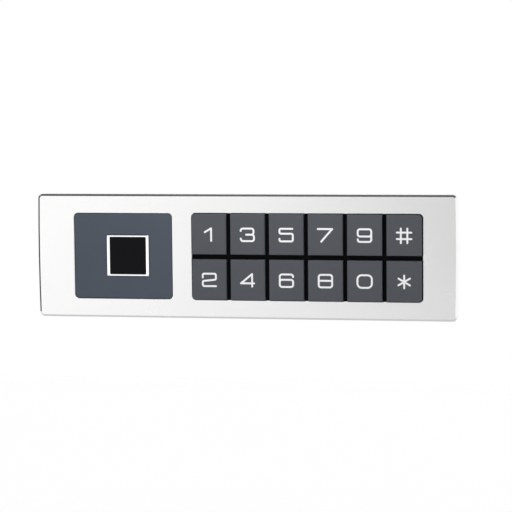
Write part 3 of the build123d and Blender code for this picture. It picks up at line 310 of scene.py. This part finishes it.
@dataclass(frozen=True)
class Moulded(Finish):
    """Plastic with the spark-eroded texture of its mould."""

    colour: Triple
    roughness: float = 0.5
    grain: float = 0.16 * MILLIMETRE
    depth: float = 0.010 * MILLIMETRE
    gloss: float = 0.4
    cloud: float = 9 * MILLIMETRE
    tint: tuple[float, float] = (0.94, 1.06)
    play: tuple[float, float] = (-0.05, 0.06)
    pit_share: float = 0.4

    def paint(self, shader: ShaderTree) -> None:
        """Even colour with faint flow clouds, a fine grain and small pits."""
        clouds = shader.noise(self.cloud, detail=4)
        fine = shader.noise(self.grain, detail=2)
        colour = shader.between(clouds, *(shade(self.colour, share) for share in self.tint))
        smoother, rougher = self.play
        shader.set(
            Base_Color=colour,
            Roughness=shader.spread(fine, self.roughness + smoother, self.roughness + rougher),
            Specular_IOR_Level=self.gloss,
        )
        shader.relief(shader.cells(2 * self.grain), self.depth, self.pit_share)
        shader.relief(fine, self.depth)


@dataclass(frozen=True)
class Polished(Finish):
    """Bright metal or plating with hairline wiping marks."""

    colour: Triple
    roughness: float
    marks: float = 0.002 * MILLIMETRE
    mark_length: float = 0.5 * MILLIMETRE
    mark_stretch: Triple = (1, 1, 14)
    cloud: float = 3 * MILLIMETRE
    dulling: float = 0.97
    play: tuple[float, float] = (0.7, 1.3)

    def paint(self, shader: ShaderTree) -> None:
        """Mirror-like metal, a little duller along fine marks."""
        lines = shader.noise(self.mark_length, detail=3, stretch=self.mark_stretch)
        clouds = shader.noise(self.cloud, detail=2)
        smoother, rougher = self.play
        shader.set(
            Base_Color=shader.between(clouds, shade(self.colour, self.dulling), self.colour),
            Metallic=1.0,
            Roughness=shader.spread(lines, self.roughness * smoother, self.roughness * rougher),
        )
        shader.relief(lines, self.marks)


@dataclass(frozen=True)
class CoatedGlass(Finish):
    """Black-coated cover over a sensor die, with faint finger marks."""

    colour: Triple
    mark: float = 2.2 * MILLIMETRE
    mark_stretch: Triple = (1, 1, 0.5)
    tint: tuple[float, float] = (0.9, 1.15)
    smooth: float = 0.24
    smeared: float = 0.34
    gloss: float = 0.05
    ripple: float = 0.3 * MILLIMETRE
    ripple_depth: float = 0.001 * MILLIMETRE

    def paint(self, shader: ShaderTree) -> None:
        """Near black, with a roughness that finger marks change."""
        marks = shader.noise(self.mark, detail=5, stretch=self.mark_stretch)
        shader.set(
            Base_Color=shader.between(marks, *(shade(self.colour, share) for share in self.tint)),
            Roughness=shader.spread(marks, self.smooth, self.smeared),
            Specular_IOR_Level=self.gloss,
        )
        shader.relief(shader.noise(self.ripple, detail=2), self.ripple_depth)


@dataclass(frozen=True)
class Soft(Finish):
    """Rubber, silicone or closed-cell foam."""

    colour: Triple
    cell: float
    depth: float
    roughness: float = 0.75
    tint: tuple[float, float] = (0.8, 1.2)
    play: float = 0.06
    gloss: float = 0.35

    def paint(self, shader: ShaderTree) -> None:
        """Matt, with small closed cells in the relief and the colour."""
        cells = shader.cells(self.cell)
        shader.set(
            Base_Color=shader.between(cells, *(shade(self.colour, share) for share in self.tint)),
            Roughness=shader.spread(cells, self.roughness - self.play, self.roughness + self.play),
            Specular_IOR_Level=self.gloss,
        )
        shader.relief(cells, self.depth)


@dataclass(frozen=True)
class CircuitBoard(Finish):
    """Solder mask over copper, which shows as slightly raised, lighter tracks."""

    colour: Triple
    track: float = 1.6 * MILLIMETRE
    copper: float = 0.03 * MILLIMETRE
    over_track: float = 1.35
    cloud: float = 4 * MILLIMETRE
    smooth: float = 0.25
    dull: float = 0.35
    coat: float = 0.3

    def paint(self, shader: ShaderTree) -> None:
        """Straight tracks from a brick pattern under a glossy mask."""
        bricks = shader.node("ShaderNodeTexBrick", Vector=shader.places, Scale=1 / self.track)
        tracks = bricks.outputs["Fac"]
        shader.set(
            Base_Color=shader.between(tracks, shade(self.colour, self.over_track), self.colour),
            Roughness=shader.spread(shader.noise(self.cloud), self.smooth, self.dull),
            Coat_Weight=self.coat,
        )
        shader.relief(tracks, self.copper)


class Finishes(Enum):
    """The finishes of the terminal's pieces."""

    FRAME = BlastedMetal("satin_aluminium", (0.83, 0.83, 0.825), 0.27)
    SLATE = Moulded("slate_moulding", (0.058, 0.073, 0.099), 0.55)
    KEY = Moulded("key_moulding", (0.065, 0.0705, 0.0835), 0.5)
    # black plastic bars, made darker than black plastic as painted shade in the deep gaps between the keys
    KEY_BARS_AND_GAP_SHADE = Moulded("black_bars_and_gap_shade", (0.0018, 0.0018, 0.0025), 0.6, gloss=0.06)
    LEGEND = Moulded("white_legend", (0.86, 0.87, 0.88), 0.45, depth=0.003 * MILLIMETRE)
    CHROME = Polished("bright_chrome", (0.93, 0.93, 0.94), 0.12)
    SENSOR = CoatedGlass("coated_glass", (0.0052, 0.0052, 0.0060))
    FOAM = Soft("gasket_foam", (0.020, 0.020, 0.021), 0.28 * MILLIMETRE, 0.05 * MILLIMETRE, 0.85)
    RUBBER = Soft("soft_rubber", (0.014, 0.014, 0.015), 0.12 * MILLIMETRE, 0.006 * MILLIMETRE, 0.6)
    SILICONE = Soft("clear_silicone", (0.30, 0.31, 0.32), 0.2 * MILLIMETRE, 0.004 * MILLIMETRE, 0.5)
    CARBON = Soft("carbon_pill", (0.012, 0.012, 0.012), 0.1 * MILLIMETRE, 0.004 * MILLIMETRE, 0.7)
    HOUSING = Moulded("tub_moulding", (0.022, 0.023, 0.026), 0.58, 0.3 * MILLIMETRE, 0.02 * MILLIMETRE)
    EPOXY = Moulded("epoxy_body", (0.016, 0.016, 0.018), 0.6, depth=0.006 * MILLIMETRE)
    NYLON = Moulded("natural_nylon", (0.68, 0.66, 0.60), 0.45, depth=0.004 * MILLIMETRE)
    BOARD = CircuitBoard("solder_mask", (0.012, 0.080, 0.036))
    POLYIMIDE = Moulded("polyimide_film", (0.40, 0.19, 0.03), 0.3, depth=0.002 * MILLIMETRE)
    ZINC = Polished("zinc_plate", (0.66, 0.66, 0.64), 0.3)
    CAN = Polished("drawn_can", (0.78, 0.78, 0.79), 0.28)
    GOLD = Polished("gold_contact", (0.90, 0.66, 0.27), 0.25)
    BRASS = Polished("turned_brass", (0.78, 0.58, 0.26), 0.26)
    LABEL = Moulded("label_film", (0.62, 0.63, 0.64), 0.38, depth=0.002 * MILLIMETRE)


def dress(node: str, finish: Finishes) -> None:
    """Gives a CAD piece its finish.

    Args:
        node: Name of the CAD node.
        finish: The finish to use.
    """
    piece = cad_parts[node]
    piece.data.materials.clear()
    piece.data.materials.append(finish.value.make())
    LOG.info("%s: %s", node, finish.value.name)


# ---------------------------------------------------------------- studio
@dataclass
class CameraView:
    """The camera: where it aims, from which side, how far off and with which lens."""

    aim: Vector = field(default_factory=lambda: Vector((0.00396, -0.007, 0.00035)))
    azimuth: float = math.radians(10.43)
    elevation: float = math.radians(5.48)
    roll: float = math.radians(-0.52)
    distance: float = 0.6556
    lens: float = 140.79
    sensor: float = 36
    nearest: float = 0.05

    def make(self) -> bpy.types.Object:
        """Makes the camera and gives it to the scene.

        Returns:
            The camera object.
        """
        level = math.cos(self.elevation)
        back = Vector(
            (math.sin(self.azimuth) * level, -math.cos(self.azimuth) * level, math.sin(self.elevation))
        )
        camera = bpy.data.objects.new("camera", bpy.data.cameras.new("camera"))
        bpy.context.scene.collection.objects.link(camera)
        camera.data.sensor_width = self.sensor
        camera.data.lens = self.lens
        camera.data.clip_start = self.nearest
        camera.location = self.aim + back * self.distance
        camera.rotation_mode = "QUATERNION"
        camera.rotation_quaternion = (-back).to_track_quat("-Z", "Y") @ Quaternion((0, 0, 1), self.roll)
        bpy.context.scene.camera = camera
        return camera


@dataclass(frozen=True)
class SkyPatch:
    """One soft-edged patch of the surroundings: a light tent wall, or an opening between two."""

    towards: Triple
    radiance: float
    inner: float
    outer: float


@dataclass(frozen=True)
class Lamp:
    """A square area lamp that points at the terminal: its middle, the length of its side, and its watts."""

    name: str
    place: Triple
    size: float
    power: float

    def make(self) -> None:
        """Adds the lamp to the scene."""
        light = bpy.data.lights.new(self.name, "AREA")
        light.energy = self.power
        light.size = self.size
        lamp = bpy.data.objects.new(self.name, light)
        lamp.location = self.place
        lamp.rotation_euler = (-Vector(self.place)).to_track_quat("-Z", "Y").to_euler()
        lamp.visible_camera = False
        bpy.context.scene.collection.objects.link(lamp)


@dataclass
class Studio:
    """White surroundings, a pale glowing floor with a painted shadow under the terminal, and soft lamps."""

    floor_level: float = -0.30
    floor_size: float = 3.2
    # the floor's glow is weaker in a soft disc under the terminal: a painted shadow
    painted_shadow_inner: float = 0.15
    painted_shadow_outer: float = 0.75
    painted_shadow_glow: float = 0.30
    floor_glow: float = 0.62
    floor_tones: tuple[float, float] = (0.79, 0.81)
    floor_cloud: float = 0.4
    floor_roughness: float = 0.9
    base: float = 0.48
    patches: tuple[SkyPatch, ...] = (
        SkyPatch((0, 1, 0), 1.12, 60, 85),
        SkyPatch((1, 0.1, 0), 1.15, 25, 60),
        SkyPatch((-0.62, -0.74, -0.24), 1.40, 26, 40),
        SkyPatch((0, -0.15, 1), 0.13, 32, 62),
        SkyPatch((-1, 0.35, 0), 0.06, 26, 42),
    )
    lamps: tuple[Lamp, ...] = (
        Lamp("near_lamp", (0.0, -0.065, 0.08), 0.10, 0.062),
        Lamp("key_lamp", (-0.55, -0.75, 0.35), 0.5, 0.25),
        Lamp("fill_lamp", (0.7, -0.5, -0.1), 0.4, 0.05),
    )

    def make(self) -> None:
        """Makes the surroundings, the floor and the lamps."""
        self.surroundings()
        self.floor()
        for lamp in self.lamps:
            lamp.make()
        bpy.context.scene.view_settings.view_transform = "Standard"
        LOG.info("studio: %d patches around the terminal", len(self.patches))

    def surroundings(self) -> None:
        """A white background, with soft patches for what the surfaces reflect."""
        world = bpy.data.worlds.new("studio")
        bpy.context.scene.world = world
        world.use_nodes = True
        tree = world.node_tree
        direction = tree.nodes.new("ShaderNodeTexCoord").outputs["Generated"]
        level = None
        for patch in self.patches:
            dot = tree.nodes.new("ShaderNodeVectorMath")
            dot.operation = "DOT_PRODUCT"
            tree.links.new(direction, dot.inputs[0])
            dot.inputs[1].default_value = Vector(patch.towards).normalized()
            edge = tree.nodes.new("ShaderNodeMapRange")
            edge.interpolation_type = "SMOOTHSTEP"
            tree.links.new(dot.outputs["Value"], edge.inputs["Value"])
            edge.inputs["From Min"].default_value = math.cos(math.radians(patch.outer))
            edge.inputs["From Max"].default_value = math.cos(math.radians(patch.inner))
            mix = tree.nodes.new("ShaderNodeMix")
            tree.links.new(edge.outputs["Result"], mix.inputs["Factor"])
            mix.inputs["A"].default_value = self.base
            if level is not None:
                tree.links.new(level, mix.inputs["A"])
            mix.inputs["B"].default_value = patch.radiance
            level = mix.outputs["Result"]
        seen = tree.nodes.new("ShaderNodeLightPath").outputs["Is Camera Ray"]
        choice = tree.nodes.new("ShaderNodeMix")
        tree.links.new(seen, choice.inputs["Factor"])
        tree.links.new(level, choice.inputs["A"])
        choice.inputs["B"].default_value = 1.0
        tree.links.new(choice.outputs["Result"], tree.nodes["Background"].inputs["Strength"])
        tree.nodes["Background"].inputs["Color"].default_value = (1, 1, 1, 1)

    def floor(self) -> None:
        """A pale glowing floor far below the terminal, with a painted shadow: its glow is weaker in a soft
        disc under the terminal.
        """
        half = self.floor_size / 2
        mesh = bpy.data.meshes.new("floor")
        corners = [(-half, -half, 0), (half, -half, 0), (half, half, 0), (-half, half, 0)]
        mesh.from_pydata(corners, [], [(0, 1, 2, 3)])
        floor = bpy.data.objects.new("floor", mesh)
        floor.location.z = self.floor_level
        bpy.context.scene.collection.objects.link(floor)
        shader = ShaderTree("floor")
        away = shader.node("ShaderNodeVectorMath")
        away.operation = "LENGTH"
        shader.feed(away.inputs[0], shader.places)
        # painted shadow: the glow rises from a dim middle under the terminal to the full floor glow further
        # out
        edge = shader.node("ShaderNodeMapRange", Value=away.outputs["Value"])
        edge.interpolation_type = "SMOOTHSTEP"
        edge.inputs["From Min"].default_value = self.painted_shadow_inner
        edge.inputs["From Max"].default_value = self.painted_shadow_outer
        edge.inputs["To Min"].default_value = self.painted_shadow_glow
        edge.inputs["To Max"].default_value = self.floor_glow
        tones = [(grey, grey, grey) for grey in self.floor_tones]
        tone = shader.between(shader.noise(self.floor_cloud), *tones)
        shader.set(
            Base_Color=tone,
            Roughness=self.floor_roughness,
            Emission_Color=(1, 1, 1, 1),
            Emission_Strength=edge.outputs["Result"],
        )
        mesh.materials.append(shader.material)


# ---------------------------------------------------------------- mesh helpers
def add_piece(
    name: str, points: list[Vector], faces: list[tuple[int, ...]], finish: Finishes, body: str = BODY
) -> bpy.types.Object:
    """Makes a piece that moves with a body.

    Args:
        name: Name of the piece.
        points: Its corner points.
        faces: Its faces, as numbers of points.
        finish: The finish to use.
        body: Name of the body that it moves with.

    Returns:
        The new object.
    """
    mesh = bpy.data.meshes.new(name)
    mesh.from_pydata(points, [], faces)
    mesh.materials.append(finish.value.make())
    piece = bpy.data.objects.new(name, mesh)
    bpy.context.scene.collection.objects.link(piece)
    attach(piece, body)
    LOG.info("%s: %d faces", name, len(faces))
    return piece


def turned(middle: Vector, profile: list[tuple[float, float]], around: int) -> tuple[list, list]:
    """A solid turned about an axis along Y.

    Args:
        middle: A point of the axis.
        profile: Radius and height in front of the middle for each corner of the section.
        around: How many points each ring has.

    Returns:
        Its points and its faces. A radius of 0 at both ends of the profile closes the solid on the axis.
    """
    points = []
    for radius, height in profile:
        for k in range(around):
            turn = 2 * math.pi * k / around
            points.append(middle + Vector((radius * math.cos(turn), -height, radius * math.sin(turn))))
    return points, ring_faces(len(profile), around, closed=profile[0][0] > 0)


def ring_faces(rings: int, around: int, closed: bool = False) -> list[tuple[int, ...]]:
    """Quads between rings of points that follow each other.

    Args:
        rings: How many rings there are.
        around: How many points each ring has.
        closed: Whether the last ring joins the first.

    Returns:
        The quads, as numbers of points.
    """
    faces = []
    for ring in range(rings if closed else rings - 1):
        here, there = ring * around, (ring + 1) % rings * around
        for k in range(around):
            after = (k + 1) % around
            faces.append((here + k, here + after, there + after, there + k))
    return faces


# ---------------------------------------------------------------- sub-assemblies
class KeyName(Enum):
    """The keys, in reading order."""

    ONE = "1"
    THREE = "3"
    FIVE = "5"
    SEVEN = "7"
    NINE = "9"
    HASH = "hash"
    TWO = "2"
    FOUR = "4"
    SIX = "6"
    EIGHT = "8"
    ZERO = "0"
    STAR = "star"


@dataclass
class SubAssembly:
    """CAD pieces that share a job, each with its finish."""

    finishes: dict[str, Finishes] = field(default_factory=dict)

    def build(self) -> None:
        """Dresses every piece of the sub-assembly."""
        for node, finish in self.finishes.items():
            dress(node, finish)


@dataclass
class FrontFrame(SubAssembly):
    """The aluminium face with its rim, and the gasket behind it."""

    finishes: dict[str, Finishes] = field(
        default_factory=lambda: {"front_frame": Finishes.FRAME, "panel_gasket": Finishes.FOAM}
    )


@dataclass
class SensorUnit(SubAssembly):
    """The fingerprint sensor with its panel, bezel, board and lead."""

    finishes: dict[str, Finishes] = field(
        default_factory=lambda: {
            "sensor_panel": Finishes.SLATE,
            "sensor_bezel": Finishes.CHROME,
            "sensor_glass": Finishes.SENSOR,
            "sensor_package": Finishes.EPOXY,
            "sensor_seal": Finishes.RUBBER,
            "sensor_board": Finishes.BOARD,
            "sensor_processor": Finishes.EPOXY,
            "sensor_socket": Finishes.NYLON,
            "flex_socket": Finishes.NYLON,
            "sensor_flex": Finishes.POLYIMIDE,
            "sensor_bracket": Finishes.ZINC,
        }
    )


@dataclass
class Keypad(SubAssembly):
    """Key caps with their legends, the black bars between them, darkened further as painted shade in the
    gaps, and the mat behind.
    """

    finishes: dict[str, Finishes] = field(
        default_factory=lambda: {
            "key_frame": Finishes.KEY_BARS_AND_GAP_SHADE,
            "contact_pads": Finishes.GOLD,
        }
    )

    def build(self) -> None:
        """Dresses the keys and legends one by one, then the rest, and makes the mat."""
        for key in KeyName:
            dress(f"key_{key.value}", Finishes.KEY)
            dress(f"legend_{key.value}", Finishes.LEGEND)
        super().build()
        KeyMat().build()


@dataclass
class KeyMat:
    """The silicone sheet on the board, with a skirt, a plunger and a carbon pill for every key."""

    width: float = 76.0 * MILLIMETRE
    height: float = 29.4 * MILLIMETRE
    board: float = 0.6 * MILLIMETRE
    top: float = 1.6 * MILLIMETRE
    opening: float = 2.9 * MILLIMETRE
    seam: float = 0.005 * MILLIMETRE
    foot: float = 3.98 * MILLIMETRE
    shoulder: float = 2.6 * MILLIMETRE
    throat: float = 2.0 * MILLIMETRE
    dome_top: float = 2.87 * MILLIMETRE
    roof: float = 1.95 * MILLIMETRE
    plunger: float = 1.95 * MILLIMETRE
    pill: float = 1.5 * MILLIMETRE
    pill_end: float = 1.57 * MILLIMETRE
    folded: float = 0.29
    around: int = 32

    def build(self) -> None:
        """Makes the sheet, then the three pieces of every key."""
        places = {key: self.place(key) for key in KeyName}
        sheet = self.sheet(list(places.values()))
        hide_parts("key_mat")
        for key, middle in places.items():
            self.skirt(key, middle)
            self.plunger_of(key, middle)
            self.pill_of(key, middle)

    def place(self, key: KeyName) -> Vector:
        """The point of the seat plane behind the middle of a key."""
        low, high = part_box(f"key_{key.value}")
        return Vector(((low[0] + high[0]) / 2, 0, (low[2] + high[2]) / 2))

    def sheet(self, middles: list[Vector]) -> bpy.types.Object:
        """The flat sheet, with an opening behind every key.

        Args:
            middles: The middles of the openings.

        Returns:
            The new object.
        """
        centre = sum(middles, Vector()) / len(middles)
        corners = [(-1, -1), (1, -1), (1, 1), (-1, 1)]
        loops = [[(centre.x + a * self.width / 2, centre.z + b * self.height / 2) for a, b in corners]]
        for middle in middles:
            turns = [2 * math.pi * k / self.around for k in range(self.around)]
            loops.append([
                (middle.x + self.opening * math.cos(t), middle.z + self.opening * math.sin(t)) for t in turns
            ])
        curve = bpy.data.curves.new("mat_outline", "CURVE")
        curve.dimensions = "2D"
        curve.fill_mode = "BOTH"
        curve.extrude = (self.top - self.board) / 2
        for loop in loops:
            spline = curve.splines.new("POLY")
            spline.points.add(len(loop) - 1)
            spline.use_cyclic_u = True
            for point, (x, z) in zip(spline.points, loop):
                point.co = (x, z, 0, 1)
        shape = bpy.data.objects.new("mat_outline", curve)
        bpy.context.scene.collection.objects.link(shape)
        bpy.context.view_layer.update()
        filled = bpy.data.meshes.new_from_object(shape.evaluated_get(bpy.context.evaluated_depsgraph_get()))
        level = -(self.top + self.board) / 2
        points = [Vector((v.co.x, level - v.co.z, v.co.y)) for v in filled.vertices]
        faces = [tuple(face.vertices) for face in filled.polygons]
        bpy.data.objects.remove(shape)
        return add_piece("mat_sheet", points, faces, Finishes.SILICONE)

    def skirt(self, key: KeyName, middle: Vector) -> None:
        """The slanted wall around a plunger.

        Args:
            key: The key.
            middle: The point of the seat plane behind it.
        """
        foot = self.top + self.seam
        profile = [
            (self.opening, foot),
            (self.foot, foot),
            (self.shoulder, self.dome_top),
            (self.throat, self.dome_top),
            (self.throat, self.roof),
        ]
        points, faces = turned(middle, profile, self.around)
        piece = add_piece(f"skirt_{key.value}", points, faces, Finishes.SILICONE)
        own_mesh(piece)

    def plunger_of(self, key: KeyName, middle: Vector) -> None:
        """The silicone plunger that stands between a key and its pill."""
        section = self.disc(self.plunger, self.roof, self.dome_top)
        points, faces = turned(middle, section, self.around)
        add_piece(f"plunger_{key.value}", points, faces, Finishes.SILICONE, f"key_{key.value}")

    def pill_of(self, key: KeyName, middle: Vector) -> None:
        """The carbon pill under a key's plunger."""
        section = self.disc(self.pill, self.pill_end, self.roof)
        points, faces = turned(middle, section, self.around)
        pill = add_piece(f"pill_{key.value}", points, faces, Finishes.CARBON, f"key_{key.value}")
        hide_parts("contact_pills")

    def disc(self, radius: float, back: float, front: float) -> list[tuple[float, float]]:
        """Section of a solid disc, closed on its axis, for turned()."""
        return [(0, back), (radius, back), (radius, front), (0, front)]


@dataclass
class Electronics(SubAssembly):
    """The main board and what is soldered to it."""

    finishes: dict[str, Finishes] = field(
        default_factory=lambda: {
            "main_board": Finishes.BOARD,
            "mcu": Finishes.EPOXY,
            "memory_chip": Finishes.EPOXY,
            "motor_driver": Finishes.EPOXY,
            "regulator": Finishes.EPOXY,
            "chip_resistors": Finishes.EPOXY,
            "crystal": Finishes.CAN,
            "capacitors": Finishes.CAN,
            "buzzer": Finishes.EPOXY,
            "power_socket": Finishes.NYLON,
            "lock_socket": Finishes.NYLON,
        }
    )


@dataclass
class ThreadedInserts:
    """The pair of knurled brass inserts, with the thread in their bores."""

    spacing: float = 104.0 * MILLIMETRE
    mouth: float = 15.0 * MILLIMETRE
    length: float = 8.0 * MILLIMETRE
    radius: float = 2.98 * MILLIMETRE
    knurl: float = 0.12 * MILLIMETRE
    groove_radius: float = 2.65 * MILLIMETRE
    grooves: tuple[tuple[float, float], ...] = (
        (2.0 * MILLIMETRE, 3.0 * MILLIMETRE),
        (5.0 * MILLIMETRE, 6.0 * MILLIMETRE),
    )
    minor: float = 1.65 * MILLIMETRE
    major: float = 2.0 * MILLIMETRE
    lead_in: float = 0.4 * MILLIMETRE
    rim: float = 0.12 * MILLIMETRE
    pitch: float = 0.7 * MILLIMETRE
    steps: int = 6
    around: int = 48

    def build(self) -> None:
        """Makes both inserts as one piece that stands for the CAD's plain ones."""
        points, faces = [], []
        for side in (-1, 1):
            first = len(points)
            rings = self.outside() + self.bore()
            for ring in rings:
                points += [Vector((side * self.spacing / 2 + x, y, z)) for x, y, z in ring]
            faces += [
                tuple(first + number for number in face)
                for face in ring_faces(len(rings), self.around, closed=True)
            ]
        piece = add_piece("threaded_inserts", points, faces, Finishes.BRASS)
        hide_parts("mount_inserts")

    def ring(self, depth: float, radii: list[float]) -> list[Triple]:
        """One ring of points around the bore's axis, at a depth below the mouth."""
        turn = 2 * math.pi / self.around
        return [
            (radius * math.sin(k * turn), self.mouth - depth, radius * math.cos(k * turn))
            for k, radius in enumerate(radii)
        ]

    def outside(self) -> list[list[Triple]]:
        """Rings of the outside, from the mouth to the far end.

        Returns:
            The rings, with a knurl on every land and plain grooves between them.
        """
        plain = [self.radius] * self.around
        toothed = [self.radius - (k % 2) * self.knurl for k in range(self.around)]
        deep = [self.groove_radius] * self.around
        edge = [self.radius - self.rim] * self.around
        rings = [self.ring(0, edge), self.ring(self.rim, plain), self.ring(2 * self.rim, toothed)]
        for start, end in self.grooves:
            rings += [self.ring(start, toothed), self.ring(start, deep)]
            rings += [self.ring(end, deep), self.ring(end, toothed)]
        rings += [self.ring(self.length - self.rim, toothed), self.ring(self.length, edge)]
        return rings

    def bore(self) -> list[list[Triple]]:
        """Rings of the bore, from the far end back to the mouth.

        Returns:
            The rings, with a helical thread between two plain ends.
        """
        ends = [self.major] * self.around
        mouth = [self.major + self.rim] * self.around
        count = round((self.length - 2 * self.lead_in) / self.pitch * self.steps)
        rings = [self.ring(self.length, ends)]
        for step in range(count, -1, -1):
            depth = self.lead_in + step * self.pitch / self.steps
            radii = []
            for k in range(self.around):
                phase = (depth / self.pitch + k / self.around) % 1
                radii.append(self.minor + (self.major - self.minor) * abs(2 * phase - 1))
            rings.append(self.ring(depth, radii))
        rings += [self.ring(self.lead_in / 2, ends), self.ring(0, mouth)]
        return rings


@dataclass
class RatingLabel:
    """The blank label in the recess of the tub's back."""

    middle_x: float = -22.0 * MILLIMETRE
    width: float = 35.2 * MILLIMETRE
    height: float = 19.2 * MILLIMETRE
    corner: float = 0.8 * MILLIMETRE
    floor: float = 14.705 * MILLIMETRE
    thickness: float = 0.18 * MILLIMETRE
    bevel: float = 0.03 * MILLIMETRE
    corner_steps: int = 6

    def build(self) -> None:
        """Makes the label as a thin plate with a fine bevel."""
        top = self.floor + self.thickness
        rings = [
            self.outline(self.floor, 0),
            self.outline(top - self.bevel, 0),
            self.outline(top, self.bevel),
        ]
        around = len(rings[0])
        faces = ring_faces(len(rings), around)
        faces.append(tuple(range(around)))
        faces.append(tuple(reversed(range(2 * around, 3 * around))))
        add_piece("rating_label", [point for ring in rings for point in ring], faces, Finishes.LABEL)

    def outline(self, level: float, inset: float) -> list[Vector]:
        """A rounded rectangle.

        Args:
            level: Its place along Y.
            inset: How far it is drawn in from the label's own outline.

        Returns:
            Its points, in order.
        """
        radius = self.corner - inset
        points = []
        for quarter, (right, up) in enumerate(((1, 1), (-1, 1), (-1, -1), (1, -1))):
            middle_x = self.middle_x + right * (self.width / 2 - self.corner)
            middle_z = up * (self.height / 2 - self.corner)
            for step in range(self.corner_steps + 1):
                turn = (quarter + step / self.corner_steps) * math.pi / 2
                points.append(Vector((
                    middle_x + radius * math.cos(turn), level, middle_z + radius * math.sin(turn)
                )))
        return points


@dataclass
class RearHousing(SubAssembly):
    """The tub behind the panel, with its inserts, grommet and screws."""

    finishes: dict[str, Finishes] = field(
        default_factory=lambda: {
            "rear_housing": Finishes.HOUSING,
            "cable_grommet": Finishes.RUBBER,
            "case_screws": Finishes.ZINC,
            "board_screws": Finishes.ZINC,
            "key_frame_screws": Finishes.ZINC,
            "sensor_panel_screws": Finishes.ZINC,
            "sensor_bracket_screws": Finishes.ZINC,
        }
    )

    def build(self) -> None:
        """Dresses the CAD pieces, then adds the threaded inserts and the label."""
        super().build()
        ThreadedInserts().build()
        RatingLabel().build()


def main() -> None:
    """Builds the camera, the studio and every sub-assembly, and logs each one as it is dressed."""
    logging.basicConfig(level=logging.INFO, format="%(name)s: %(message)s")
    CameraView().make()
    Studio().make()
    for part in (FrontFrame(), SensorUnit(), Keypad(), Electronics(), RearHousing()):
        part.build()
        LOG.info("%s is dressed", type(part).__name__)


if __name__ == "__main__":
    main()
